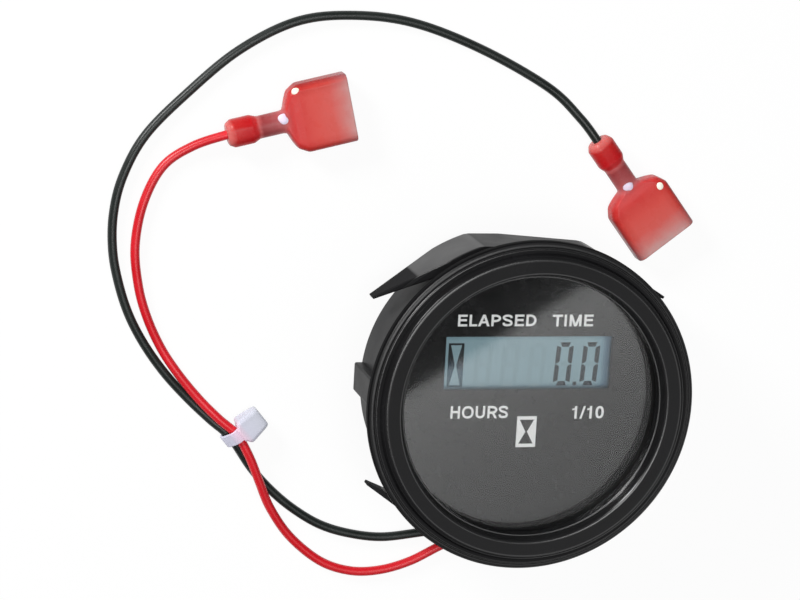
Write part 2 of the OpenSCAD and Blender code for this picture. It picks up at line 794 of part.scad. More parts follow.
// Rolled receptacle for the tab, its neck strip and the crimp on the wire
module terminal_contact() {
    roll_r = (tab_h + 2 * sheet_t + 0.35) / 2;
    floor_z = -roll_r;
    roll_x = term_l - roll_set - roll_l;
    edge_y = tab_w / 2 + sheet_t - roll_r;
    translate([roll_x, 0, 0]) rotate([90, 0, 90]) linear_extrude(roll_l) {
        translate([-edge_y, floor_z]) square([2 * edge_y, sheet_t]);
        for (s = [-1, 1]) translate([s * edge_y, 0]) difference() {
            circle(r = roll_r);
            circle(r = roll_r - sheet_t);
            translate([s > 0 ? -2 * roll_r : 0, -roll_r + sheet_t])
                square([2 * roll_r, 2 * roll_r - 2 * sheet_t]);
        }
    }
    strip_from = wire_stop + crimp_l - sheet_t;
    translate([strip_from, -crimp_d * 0.35, floor_z])
        cube([roll_x - strip_from + 0.5, crimp_d * 0.7, sheet_t]);
    translate([wire_stop, 0, 0]) rotate([0, 90, 0]) difference() {
        cylinder(d = crimp_d, h = crimp_l);
        translate([0, 0, -1]) cylinder(d = crimp_d - 2 * sheet_t, h = crimp_l + 2);
    }
}

module black_terminal_sleeve() color("#d2564f", 0.8)
    at_terminal(black_term_at, black_term_dir) terminal_sleeve();

module red_terminal_sleeve() color("#d2564f", 0.8)
    at_terminal(red_term_at, red_term_dir) terminal_sleeve();

module black_terminal_contact() color("#b8b6b0")
    at_terminal(black_term_at, black_term_dir) terminal_contact();

module red_terminal_contact() color("#b8b6b0")
    at_terminal(red_term_at, red_term_dir) terminal_contact();

// Outline round the two leads in the tie, grown by a distance
module tie_loop(grow) {
    run = tie_red - tie_black;
    reach = lead_r + tie_play + grow;
    for (p = [tie_black, tie_red]) translate(p) circle(r = reach);
    translate(tie_black) rotate(atan2(run[1], run[0]))
        translate([0, -reach]) square([norm(run), 2 * reach]);
}

module cable_tie() color("#e6e6ee")
    translate([tie_at[0], tie_at[1], 0]) rotate([0, 0, tie_dir - 90])
        rotate([90, 0, 0]) {
            difference() {
                union() {
                    translate([0, 0, -strap_band_w / 2]) linear_extrude(strap_band_w)
                        tie_loop(strap_band_t);
                    translate([tie_head_at[0], tie_head_at[1], -tie_head_w / 2])
                        cube([tie_head_l, tie_head_h, tie_head_w]);
                }
                translate([0, 0, -tie_head_w]) linear_extrude(2 * tie_head_w)
                    tie_loop(0);
            }
        }

case();
bezel_ring();
lens();
lens_gasket();
dial_plate();
lcd_front_glass();
lcd_rear_glass();
lcd_reflector();
lcd_holder();
contact_strips();
circuit_board();
controller_chip();
quartz_crystal();
filter_capacitor();
rectifier();
surge_disc();
dropping_resistors();
lithium_cell();
cell_tabs();
lead_joints();
board_screws();
back_cover();
lead_grommet();
black_lead();
red_lead();
cable_tie();
black_terminal_sleeve();
red_terminal_sleeve();
black_terminal_contact();
red_terminal_contact();
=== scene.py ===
import bpy
import numpy as np
from mathutils import Matrix


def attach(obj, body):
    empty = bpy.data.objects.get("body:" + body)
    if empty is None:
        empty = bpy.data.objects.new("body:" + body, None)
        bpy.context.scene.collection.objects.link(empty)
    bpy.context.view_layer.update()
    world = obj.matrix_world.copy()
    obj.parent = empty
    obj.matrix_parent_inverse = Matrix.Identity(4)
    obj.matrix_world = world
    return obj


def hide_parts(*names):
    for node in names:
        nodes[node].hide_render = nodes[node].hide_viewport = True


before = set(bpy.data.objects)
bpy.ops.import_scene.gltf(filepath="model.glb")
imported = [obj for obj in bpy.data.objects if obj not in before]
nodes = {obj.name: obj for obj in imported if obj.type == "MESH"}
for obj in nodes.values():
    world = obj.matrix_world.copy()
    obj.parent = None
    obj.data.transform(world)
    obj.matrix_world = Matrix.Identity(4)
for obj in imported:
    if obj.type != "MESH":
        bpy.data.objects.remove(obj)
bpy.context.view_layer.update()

mm = 0.001
scene = bpy.context.scene
scene.view_settings.view_transform = "Standard"


def rgb(red, green, blue):
    # screen values from 0 to 255 turned into the linear light that shaders take
    c = np.array([red, green, blue]) / 255
    c = np.where(c <= 0.04045, c / 12.92, ((c + 0.055) / 1.055) ** 2.4)
    return (*c.tolist(), 1.0)


def unit(v):
    return v / np.linalg.norm(v, axis=-1, keepdims=True)


# shapes, all in millimetres until they become a mesh

def shell(rings, closed=False):
    # rings[i, j] is point j of ring i; neighbours are joined by quads, u runs along the path
    # and v round the ring, open ends are closed by fans, and the faces end up outside
    rings = np.asarray(rings, float)
    n, m = rings.shape[:2]
    i, j = np.meshgrid(np.arange(n if closed else n - 1), np.arange(m), indexing="ij")
    i2, j2 = (i + 1) % n, (j + 1) % m
    quads = np.stack([i * m + j, i * m + j2, i2 * m + j2, i2 * m + j], -1).reshape(-1, 4)
    u = np.stack([i, i, i + 1, i + 1], -1) / (n if closed else n - 1)
    v = np.stack([j, j + 1, j + 1, j], -1) / m
    uv = np.stack([u, v], -1).reshape(-1, 4, 2)
    points = rings.reshape(-1, 3)
    fans = np.zeros((0, 3), int)
    if not closed:
        points = np.concatenate([points, rings[:1].mean(1), rings[-1:].mean(1)])
        k = np.arange(m)
        k2 = (k + 1) % m
        fans = np.concatenate([
            np.stack([k2, k, np.full(m, n * m)], -1),
            np.stack([(n - 1) * m + k, (n - 1) * m + k2, np.full(m, n * m + 1)], -1)])
    tris = np.concatenate([quads[:, [0, 1, 2]], quads[:, [0, 2, 3]], fans])
    a, b, c = (points[tris[:, k]] - points.mean(0) for k in range(3))
    if (a * np.cross(b, c)).sum() < 0:
        quads, uv, fans = quads[:, ::-1], uv[:, ::-1], fans[:, ::-1]
    fanUv = np.tile([0.0, 0.5], (len(fans), 3, 1))
    fanUv[len(fans) // 2:, :, 0] = 1.0
    return {"points": points, "quads": quads, "fans": fans, "uv": uv, "fanUv": fanUv}


def addPiece(name, shells, finish, replaced=(), sharp=40, weighted=False):
    # puts one or more shells into one mesh, smooth up to the sharp angle
    starts = np.cumsum([0] + [len(s["points"]) for s in shells])
    points = np.concatenate([s["points"] for s in shells]) * mm
    quads = np.concatenate([s["quads"] + k for s, k in zip(shells, starts)])
    fans = np.concatenate([s["fans"] + k for s, k in zip(shells, starts)])
    uv = np.concatenate([s["uv"].reshape(-1, 2) for s in shells]
                        + [s["fanUv"].reshape(-1, 2) for s in shells])
    mesh = bpy.data.meshes.new(name)
    mesh.from_pydata(points.tolist(), [], quads.tolist() + fans.tolist())
    mesh.uv_layers.new(name="Along").data.foreach_set("uv", uv.ravel().astype(np.float32))
    mesh.shade_smooth()
    mesh.set_sharp_from_angle(angle=np.radians(sharp))
    mesh.validate()
    return addObject(name, mesh, finish, replaced, weighted)


def addObject(name, mesh, finish, replaced=(), weighted=False):
    piece = bpy.data.objects.new(name, mesh)
    scene.collection.objects.link(piece)
    mesh.materials.append(finish)
    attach(piece, "root")
    if replaced:
        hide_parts(*replaced)
    if weighted:  # keeps the flat faces flat where they meet a rounding
        mod = piece.modifiers.new("flats", "WEIGHTED_NORMAL")
        mod.keep_sharp = True
    return piece


def roundedOutline(corners, radii, steps=7, pad=0.0):
    # each corner of a closed outline becomes an arc that touches both of its sides
    p = np.asarray(corners, float)
    r = np.broadcast_to(radii, len(p)).astype(float)[:, None]
    a, b = unit(np.roll(p, 1, 0) - p), unit(np.roll(p, -1, 0) - p)
    half = 0.5 * np.arccos(np.clip((a * b).sum(-1), -1, 1))[:, None]
    cut = r / np.tan(half)
    centre = p + unit(a + b) * r / np.sin(half)
    start, end = p + a * cut - centre, p + b * cut - centre
    turn = np.arctan2(start[:, 0] * end[:, 1] - start[:, 1] * end[:, 0], (start * end).sum(-1))
    t = (np.linspace(0, 1, steps) * turn[:, None])[..., None]
    side = np.stack([-start[:, 1], start[:, 0]], -1)
    arcs = centre[:, None] + np.cos(t) * start[:, None] + np.sin(t) * side[:, None]
    if pad:
        arcs = np.concatenate([(p + a * (cut + pad))[:, None], arcs,
                               (p + b * (cut + pad))[:, None]], 1)
    return arcs.reshape(-1, 2)


def turned(profile, angles):
    # a closed section of radius and height, turned round the meter's axis
    r, z = profile[:, 0], profile[:, 1]
    rings = np.stack([np.cos(angles)[:, None] * r, np.sin(angles)[:, None] * r,
                      np.broadcast_to(z, (len(angles), len(z)))], -1)
    return rings


def band(centre, side, up, halfWide, halfHigh, corner, steps=7, closed=False):
    # a rectangle with round corners carried along a path, with its own width, height and
    # rounding at each ring
    q = np.repeat(np.arange(4), steps)
    t = (q + np.tile(np.linspace(0, 1, steps), 4)) * np.pi / 2
    sx, sy = np.array([1, -1, -1, 1])[q], np.array([1, 1, -1, -1])[q]
    n = len(centre)
    w, h, c = (np.broadcast_to(x, n)[:, None] for x in (halfWide, halfHigh, corner))
    x = sx * (w - c) + c * np.cos(t)
    y = sy * (h - c) + c * np.sin(t)
    return shell(centre[:, None] + x[..., None] * side[:, None] + y[..., None] * up[:, None],
                 closed)


def prism(outline, low, high, edge=0.0):
    # an outline raised between two heights, its upper and lower edges rounded by edge
    d = np.roll(outline, -1, 0) - np.roll(outline, 1, 0)
    n = unit(np.stack([d[:, 1], -d[:, 0]], -1))
    area = (outline[:, 0] * np.roll(outline[:, 1], -1)
            - outline[:, 1] * np.roll(outline[:, 0], -1)).sum()
    n = n if area > 0 else -n
    a = np.linspace(0, np.pi / 2, 5) if edge else np.zeros(1)
    inset = np.concatenate([edge * (1 - np.sin(a)), edge * (1 - np.sin(a[::-1]))])
    z = np.concatenate([low + edge * (1 - np.cos(a)), high - edge * (1 - np.cos(a[::-1]))])
    flat = outline - inset[:, None, None] * n
    return shell(np.concatenate([flat, np.broadcast_to(z[:, None, None], (*flat.shape[:2], 1))], -1))


def moved(part, function):
    return {**part, "points": function(part["points"])}


def mirrored(part, axis):
    # the copy on the other side of the middle, with its faces turned back outwards
    points = part["points"].copy()
    points[:, axis] *= -1
    return {**part, "points": points, "quads": part["quads"][:, ::-1], "uv": part["uv"][:, ::-1],
            "fans": part["fans"][:, ::-1]}


# finishes

def wire(tree, a, b):
    tree.links.new(a, b)


def startFinish(name):
    mat = bpy.data.materials.new(name)
    mat.use_nodes = True
    tree = mat.node_tree
    return mat, tree, tree.nodes["Principled BSDF"], tree.nodes.new("ShaderNodeTexCoord")


def noiseField(tree, where, scale, detail=3.0, stretch=(1, 1, 1)):
    # cloud noise on the piece's own coordinates
    spread = tree.nodes.new("ShaderNodeMapping")
    spread.inputs["Scale"].default_value = stretch
    wire(tree, where, spread.inputs["Vector"])
    field = tree.nodes.new("ShaderNodeTexNoise")
    field.inputs["Scale"].default_value = scale
    field.inputs["Detail"].default_value = detail
    wire(tree, spread.outputs["Vector"], field.inputs["Vector"])
    return field.outputs["Fac"]


def ramp(tree, source, stops):
    # colour stops along a value
    node = tree.nodes.new("ShaderNodeValToRGB")
    for k, (at, colour) in enumerate(stops):
        e = node.color_ramp.elements[k] if k < 2 else node.color_ramp.elements.new(at)
        e.position, e.color = at, colour
    wire(tree, source, node.inputs["Fac"])
    return node.outputs["Color"]


def span(tree, source, low, high, fromLow=0.3, fromHigh=0.7):
    node = tree.nodes.new("ShaderNodeMapRange")
    for key, value in (("From Min", fromLow), ("From Max", fromHigh),
                       ("To Min", low), ("To Max", high)):
        node.inputs[key].default_value = value
    wire(tree, source, node.inputs["Value"])
    return node.outputs["Result"]


def addBump(tree, shader, height, depth):
    bump = tree.nodes.new("ShaderNodeBump")
    bump.inputs["Strength"].default_value = 0.5
    bump.inputs["Distance"].default_value = depth
    wire(tree, height, bump.inputs["Height"])
    wire(tree, bump.outputs["Normal"], shader.inputs["Normal"])


def times(tree, a, b):
    # two colours multiplied
    node = tree.nodes.new("ShaderNodeMix")
    node.data_type, node.blend_type = "RGBA", "MULTIPLY"
    node.inputs[0].default_value = 1.0
    wire(tree, a, node.inputs[6])
    wire(tree, b, node.inputs[7])
    return node.outputs[2]


def grey(level):
    return (level, level, level, 1.0)


def axes(tree, where):
    node = tree.nodes.new("ShaderNodeSeparateXYZ")
    wire(tree, where, node.inputs["Vector"])
    return node.outputs["X"], node.outputs["Y"], node.outputs["Z"]


def shaded(tree, cloud, shades):
    # a darker and a lighter shade, mixed by a cloud
    return ramp(tree, cloud, [(at, rgb(*c)) for at, c in zip((0.3, 0.7), shades)])


def solidFinish(name, look):
    # a body colour that drifts between two shades, a gloss that drifts with it, and a fine
    # grain that lifts the surface
    mat, tree, shader, coords = startFinish(name)
    stretch = look.get("stretch", (1, 1, 1))
    cloud = noiseField(tree, coords.outputs["Object"], look["cloud"], 4.0, stretch)
    grain = noiseField(tree, coords.outputs["Object"], look["grain"], 2.0, stretch)
    wire(tree, shaded(tree, cloud, look["shades"]), shader.inputs["Base Color"])
    wire(tree, span(tree, cloud, *look["rough"]), shader.inputs["Roughness"])
    addBump(tree, shader, grain, look["depth"] * mm)
    for key, value in look.get("sockets", {}).items():
        shader.inputs[key].default_value = value
    return mat


def ringFinish(name, look):
    # turned plastic: the colour goes by height, and the sheen by distance from the axis; the sheen
    # is painted highlight, high on the rounded edges so that they shine and low on the walls so that they
    # stay dull
    mat, tree, shader, coords = startFinish(name)
    x, y, z = axes(tree, coords.outputs["Object"])
    flat = tree.nodes.new("ShaderNodeCombineXYZ")
    wire(tree, x, flat.inputs["X"])
    wire(tree, y, flat.inputs["Y"])
    radius = tree.nodes.new("ShaderNodeVectorMath")
    radius.operation = "LENGTH"
    wire(tree, flat.outputs["Vector"], radius.inputs[0])
    high = span(tree, z, 0.0, 1.0, 0.0, look["tall"] * mm)
    wide = span(tree, radius.outputs["Value"], 0.0, 1.0, look["reach"][0] * mm, look["reach"][1] * mm)
    cloud = noiseField(tree, coords.outputs["Object"], look["cloud"], 4.0)
    grain = noiseField(tree, coords.outputs["Object"], look["grain"], 2.0)
    body = ramp(tree, high, [(at / look["tall"], c) for at, c in look["colours"]])
    drift = ramp(tree, cloud, [(0.3, grey(0.86)), (0.7, grey(1.14))])
    wire(tree, times(tree, body, drift), shader.inputs["Base Color"])
    low, far = look["reach"]
    # the gloss by radius is painted highlight on the rounded edges
    sheen = ramp(tree, wide, [((at - low) / (far - low), grey(v)) for at, v in look["sheen"]])
    wire(tree, sheen, shader.inputs["Specular IOR Level"])
    wire(tree, span(tree, cloud, *look["rough"]), shader.inputs["Roughness"])
    addBump(tree, shader, grain, look["depth"] * mm)
    return mat


def clearFinish(name, look):
    # a see-through sheet that mirrors its surroundings by its refractive index
    mat, tree, shader, coords = startFinish(name)
    tree.nodes.remove(shader)
    haze = noiseField(tree, coords.outputs["Object"], look["cloud"], 5.0)
    clear = tree.nodes.new("ShaderNodeBsdfTransparent")
    clear.inputs["Color"].default_value = look["tint"]
    mirror = tree.nodes.new("ShaderNodeBsdfGlossy")
    wire(tree, span(tree, haze, *look["rough"]), mirror.inputs["Roughness"])
    edge = tree.nodes.new("ShaderNodeFresnel")
    edge.inputs["IOR"].default_value = look["index"]
    mix = tree.nodes.new("ShaderNodeMixShader")
    wire(tree, edge.outputs["Fac"], mix.inputs["Fac"])
    wire(tree, clear.outputs["BSDF"], mix.inputs[1])
    wire(tree, mirror.outputs["BSDF"], mix.inputs[2])
    wire(tree, mix.outputs["Shader"], tree.nodes["Material Output"].inputs["Surface"])
    return mat


finishes = {
    # the sheen stops of the case and the bezel are painted highlight: gloss high on the rounded edges, near
    # none on the walls
    "case": ringFinish("mouldedCase", {
        "tall": 22, "colours": [(17.8, rgb(34, 34, 35)), (18.5, rgb(18, 18, 19))],
        "reach": (25, 32), "sheen": [(26.2, 0.08), (28.2, 0.06), (28.35, 0.5), (28.82, 0.5), (28.92, 0.005)],
        "rough": (0.36, 0.46), "cloud": 160, "grain": 5200, "depth": 0.02}),
    "bezel": ringFinish("satinBezel", {
        "tall": 24, "colours": [(18, rgb(20, 20, 21)), (22, rgb(22, 22, 23))],
        "reach": (22, 29), "sheen": [(23.3, 0.8), (23.45, 0.75), (23.85, 0.7), (24.05, 0.12), (25.95, 0.12),
                                     (26.12, 0.5), (26.58, 0.5), (26.68, 0.02), (27.15, 0.05), (27.65, 0.08),
                                     (27.75, 0.42)],
        "rough": (0.22, 0.28), "cloud": 120, "grain": 6500, "depth": 0.004}),
    "rear": solidFinish("mouldedRear", {
        "shades": ((25, 25, 26), (33, 33, 34)), "rough": (0.36, 0.46),
        "cloud": 160, "grain": 5200, "depth": 0.02}),
    "dial": solidFinish("printedDial", {
        "shades": ((11, 11, 12), (16, 16, 17)), "rough": (0.1, 0.16),
        "cloud": 500, "grain": 5000, "depth": 0.0015, "sockets": {"Specular IOR Level": 0.17}}),
    "ink": solidFinish("whiteInk", {
        "shades": ((244, 244, 243), (252, 252, 251)), "rough": (0.45, 0.6),
        "cloud": 900, "grain": 9000, "depth": 0.006}),
    "holder": solidFinish("holderPlastic", {
        "shades": ((214, 211, 202), (228, 226, 218)), "rough": (0.4, 0.55),
        "cloud": 200, "grain": 4000, "depth": 0.01}),
    "rubber": solidFinish("sealRubber", {
        "shades": ((24, 24, 24), (34, 34, 34)), "rough": (0.7, 0.85),
        "cloud": 300, "grain": 3500, "depth": 0.02}),
    "strip": solidFinish("layeredRubber", {
        "shades": ((44, 44, 48), (84, 82, 84)), "rough": (0.6, 0.8),
        "cloud": 900, "grain": 4000, "depth": 0.01, "stretch": (1, 1, 6)}),
    "board": solidFinish("solderMask", {
        "shades": ((28, 88, 46), (40, 108, 60)), "rough": (0.3, 0.45),
        "cloud": 400, "grain": 2600, "depth": 0.02}),
    "chip": solidFinish("mouldedPackage", {
        "shades": ((30, 30, 33), (42, 42, 46)), "rough": (0.55, 0.7),
        "cloud": 700, "grain": 6000, "depth": 0.015}),
    "bright": solidFinish("drawnCan", {
        "shades": ((176, 178, 182), (205, 206, 208)), "rough": (0.2, 0.32),
        "cloud": 500, "grain": 3000, "depth": 0.01, "sockets": {"Metallic": 1.0}}),
    "disc": solidFinish("dippedBlue", {
        "shades": ((48, 76, 150), (66, 98, 172)), "rough": (0.25, 0.4),
        "cloud": 400, "grain": 2500, "depth": 0.03}),
    "resistor": solidFinish("tanLacquer", {
        "shades": ((188, 164, 118), (208, 186, 142)), "rough": (0.35, 0.5),
        "cloud": 600, "grain": 3000, "depth": 0.02}),
    "steel": solidFinish("platedSteel", {
        "shades": ((168, 170, 174), (198, 199, 202)), "rough": (0.22, 0.36),
        "cloud": 260, "grain": 2000, "depth": 0.008, "stretch": (1, 12, 1),
        "sockets": {"Metallic": 1.0}}),
    "solder": solidFinish("smoothSolder", {
        "shades": ((184, 186, 190), (212, 213, 216)), "rough": (0.18, 0.3),
        "cloud": 800, "grain": 2500, "depth": 0.02, "sockets": {"Metallic": 1.0}}),
    "contact": solidFinish("tinnedBrass", {
        "shades": ((186, 180, 168), (216, 212, 204)), "rough": (0.24, 0.38),
        "cloud": 700, "grain": 3000, "depth": 0.01, "sockets": {"Metallic": 1.0}}),
    "blackLead": solidFinish("blackInsulation", {
        "shades": ((24, 29, 27), (32, 37, 35)), "rough": (0.32, 0.44),
        "cloud": 180, "grain": 2600, "depth": 0.0015, "sockets": {"Specular IOR Level": 0.35}}),
    "redLead": solidFinish("redInsulation", {
        "shades": ((200, 20, 32), (212, 28, 40)), "rough": (0.3, 0.42),
        "cloud": 180, "grain": 2600, "depth": 0.0015, "sockets": {"Specular IOR Level": 0.42}}),
    # near white on the housing's nib: a painted glint
    "nib": solidFinish("paleNib", {
        "shades": ((250, 244, 220), (255, 252, 240)), "rough": (0.2, 0.3),
        "cloud": 900, "grain": 3000, "depth": 0.01}),
    "lens": clearFinish("clearLens", {
        "tint": (0.985, 0.99, 0.99, 1), "rough": (0.03, 0.05), "cloud": 60, "index": 1.385}),
    "glass": clearFinish("displayGlass", {
        "tint": (0.96, 0.975, 0.98, 1), "rough": (0.05, 0.08), "cloud": 90, "index": 1.12}),
}


def filmFinish(name, look):
    # the display's pale ground, with painted shade along the edges of the window
    mat, tree, shader, coords = startFinish(name)
    x, y, z = axes(tree, coords.outputs["Object"])
    cloud = noiseField(tree, coords.outputs["Object"], look["cloud"], 3.0)
    ground = shaded(tree, cloud, look["shades"])
    left, right, low, top = (v * mm for v in look["window"])
    # across and rise darken the ground towards the window's edges: painted shade
    across = ramp(tree, span(tree, x, 0.0, 1.0, left, right), look["across"])
    rise = ramp(tree, span(tree, y, 0.0, 1.0, low, top), look["rise"])
    wire(tree, times(tree, times(tree, ground, across), rise), shader.inputs["Base Color"])
    wire(tree, span(tree, cloud, *look["rough"]), shader.inputs["Roughness"])
    shader.inputs["Specular IOR Level"].default_value = 0.2
    addBump(tree, shader, noiseField(tree, coords.outputs["Object"], look["grain"], 2.0), look["depth"] * mm)
    return mat


finishes["film"] = filmFinish("reflectorFilm", {
    "shades": ((150, 176, 184), (157, 183, 191)), "cloud": 300, "rough": (0.5, 0.6),
    "grain": 14000, "depth": 0.004, "window": (-15, 15, 2, 12),
    # the across and rise stops are painted shade along the window's edges
    "across": [(0.0, (0.8, 0.84, 0.88, 1)), (0.03, grey(1.0)), (0.9, grey(1.0)),
               (0.95, (0.78, 0.84, 0.9, 1)), (0.985, (0.34, 0.42, 0.52, 1))],
    "rise": [(0.01, (0.36, 0.44, 0.5, 1)), (0.05, (0.72, 0.8, 0.85, 1)), (0.1, grey(1.0)),
             (0.84, grey(1.0)), (0.93, (0.66, 0.73, 0.76, 1))]})


def tieFinish(name, look):
    # milky nylon, tinted where it lies over the red lead; u of the map runs across the leads
    mat, tree, shader, coords = startFinish(name)
    u, v, w = axes(tree, coords.outputs["UV"])
    cloud = noiseField(tree, coords.outputs["Object"], look["cloud"], 3.0)
    body = ramp(tree, u, [(at, rgb(*c)) for at, c in look["across"]])
    drift = ramp(tree, cloud, [(0.3, grey(0.95)), (0.7, grey(1.03))])
    wire(tree, times(tree, body, drift), shader.inputs["Base Color"])
    wire(tree, span(tree, cloud, *look["rough"]), shader.inputs["Roughness"])
    shader.inputs["Specular IOR Level"].default_value = look["specular"]
    addBump(tree, shader, noiseField(tree, coords.outputs["Object"], look["grain"], 2.0), look["depth"] * mm)
    return mat


finishes["tie"] = tieFinish("milkyNylon", {
    "across": [(0.24, (206, 206, 224)), (0.36, (222, 200, 220)), (0.45, (226, 198, 216)),
               (0.56, (204, 205, 220)), (0.9, (200, 203, 214))],
    "cloud": 300, "rough": (0.34, 0.48), "specular": 0.3, "grain": 1500, "depth": 0.005})
print("finishes made")


# camera, at the photograph's angle

cameraLook = {"azimuth": 138.701, "elevation": 70.687, "roll": 3.236, "distance": 470.582,
              "target": (-24.684, 18.989, 20.5), "lens": 126.0, "sensor": 36.0}


def addCamera(look):
    # looks from a sphere round the target; the roll turns the picture about the sight line
    az, el, roll = np.radians([look["azimuth"], look["elevation"], look["roll"]])
    back = np.array([np.cos(el) * np.cos(az), np.cos(el) * np.sin(az), np.sin(el)])
    level = unit(np.cross([0, 1, 0], back))
    rise = np.cross(back, level)
    right = level * np.cos(roll) + rise * np.sin(roll)
    up = rise * np.cos(roll) - level * np.sin(roll)
    place = (np.array(look["target"]) + back * look["distance"]) * mm
    data = bpy.data.cameras.new("photoCamera")
    data.lens, data.sensor_width = look["lens"], look["sensor"]
    data.clip_start, data.clip_end = 0.01, 20
    camera = bpy.data.objects.new("photoCamera", data)
    scene.collection.objects.link(camera)
    matrix = np.eye(4)
    matrix[:3, 0], matrix[:3, 1], matrix[:3, 2], matrix[:3, 3] = right, up, back, place
    camera.matrix_world = Matrix(matrix.tolist())
    scene.camera = camera


addCamera(cameraLook)
print("camera set")


# stage and light

stageLook = {"size": 3.0, "white": 0.95, "glow": 0.92}
lightLook = {
    "sky": 0.1,
    "lamps": {
        "keyLamp": {"azimuth": 139, "elevation": 24, "distance": 0.62, "size": 0.16, "power": 3.0},
        "topLamp": {"azimuth": 139, "elevation": 84, "distance": 0.75, "size": 0.36, "power": 3.0},
    },
    "card": {"edge": ((103.7, -123.6, 485.4), (166.1, -83.3, 481.6)), "along": 260, "deep": 300,
             "strength": [(0.0, 1.0), (0.05, 0.82), (0.12, 0.64), (0.22, 0.52), (1.0, 0.44)], "full": 2.9},
}


def addFloor(look):
    # a white floor that takes the shadow, and that shows white to the camera and in mirrors
    s = look["size"] / 2
    mesh = bpy.data.meshes.new("floor")
    mesh.from_pydata([(-s, -s, 0), (s, -s, 0), (s, s, 0), (-s, s, 0)], [], [(0, 1, 2, 3)])
    floor = bpy.data.objects.new("floor", mesh)
    scene.collection.objects.link(floor)
    mat, tree, shader, coords = startFinish("paperFloor")
    shader.inputs["Base Color"].default_value = (look["white"],) * 3 + (1,)
    shader.inputs["Roughness"].default_value = 0.9
    shader.inputs["Specular IOR Level"].default_value = 0.0
    glow = tree.nodes.new("ShaderNodeEmission")
    path = tree.nodes.new("ShaderNodeLightPath")
    seen = path.outputs["Is Camera Ray"]
    for ray in ("Is Glossy Ray", "Is Transmission Ray"):
        either = tree.nodes.new("ShaderNodeMath")
        either.operation = "MAXIMUM"
        wire(tree, seen, either.inputs[0])
        wire(tree, path.outputs[ray], either.inputs[1])
        seen = either.outputs[0]
    share = tree.nodes.new("ShaderNodeMath")
    share.operation = "MULTIPLY"
    share.inputs[1].default_value = look["glow"]
    wire(tree, seen, share.inputs[0])
    mix = tree.nodes.new("ShaderNodeMixShader")
    wire(tree, share.outputs[0], mix.inputs["Fac"])
    wire(tree, shader.outputs["BSDF"], mix.inputs[1])
    wire(tree, glow.outputs["Emission"], mix.inputs[2])
    wire(tree, mix.outputs["Shader"], tree.nodes["Material Output"].inputs["Surface"])
    mesh.materials.append(mat)


def addLight(look):
    # a dim sky, a key lamp from the upper left, a soft lamp overhead, and a white card that the
    # lens mirrors
    world = bpy.data.worlds.new("studio")
    scene.world = world
    world.use_nodes = True
    tree = world.node_tree
    sky = tree.nodes["Background"]
    sky.inputs["Color"].default_value = (1, 1, 1, 1)
    sky.inputs["Strength"].default_value = look["sky"]
    white = tree.nodes.new("ShaderNodeBackground")
    path = tree.nodes.new("ShaderNodeLightPath")
    mix = tree.nodes.new("ShaderNodeMixShader")
    wire(tree, path.outputs["Is Camera Ray"], mix.inputs["Fac"])
    wire(tree, sky.outputs["Background"], mix.inputs[1])
    wire(tree, white.outputs["Background"], mix.inputs[2])
    wire(tree, mix.outputs["Shader"], tree.nodes["World Output"].inputs["Surface"])

    for name, spec in look["lamps"].items():
        az, el = np.radians([spec["azimuth"], spec["elevation"]])
        back = np.array([np.cos(el) * np.cos(az), np.cos(el) * np.sin(az), np.sin(el)])
        data = bpy.data.lights.new(name, "AREA")
        data.size, data.energy = spec["size"], spec["power"]
        lamp = bpy.data.objects.new(name, data)
        scene.collection.objects.link(lamp)
        level = unit(np.cross([0, 0, 1], back))
        matrix = np.eye(4)
        matrix[:3, 0], matrix[:3, 1] = level, np.cross(back, level)
        matrix[:3, 2], matrix[:3, 3] = back, back * spec["distance"]
        lamp.matrix_world = Matrix(matrix.tolist())

    card = look["card"]
    a, b = np.array(card["edge"])
    along = unit(b - a)
    middle = (a + b) / 2
    toLens = unit(np.array([0, 0, 20]) - middle)
    inward = unit(np.cross(along, toLens))
    if inward[1] > 0:
        inward = -inward
    corners = [middle + along * s * card["along"] / 2 + inward * t * card["deep"]
               for s, t in ((-1, 0), (1, 0), (1, 1), (-1, 1))]
    mesh = bpy.data.meshes.new("whiteCard")
    mesh.from_pydata((np.array(corners) * mm).tolist(), [], [(0, 1, 2, 3)])
    piece = bpy.data.objects.new("whiteCard", mesh)
    scene.collection.objects.link(piece)
    piece.visible_camera = False
    mat, tree, shader, coords = startFinish("cardGlow")
    tree.nodes.remove(shader)
    glow = tree.nodes.new("ShaderNodeEmission")
    glow.inputs["Strength"].default_value = card["full"]
    mesh.uv_layers.new(name="Depth").data.foreach_set("uv", [0, 0, 1, 0, 1, 1, 0, 1])
    u, depth, w = axes(tree, coords.outputs["UV"])
    wire(tree, ramp(tree, depth, [(at, grey(v)) for at, v in card["strength"]]), glow.inputs["Color"])
    wire(tree, glow.outputs["Emission"], tree.nodes["Material Output"].inputs["Surface"])
    mesh.materials.append(mat)


addFloor(stageLook)
addLight(lightLook)
print("stage and light set")


# push-on terminals; local x runs from the wire end to the mouth

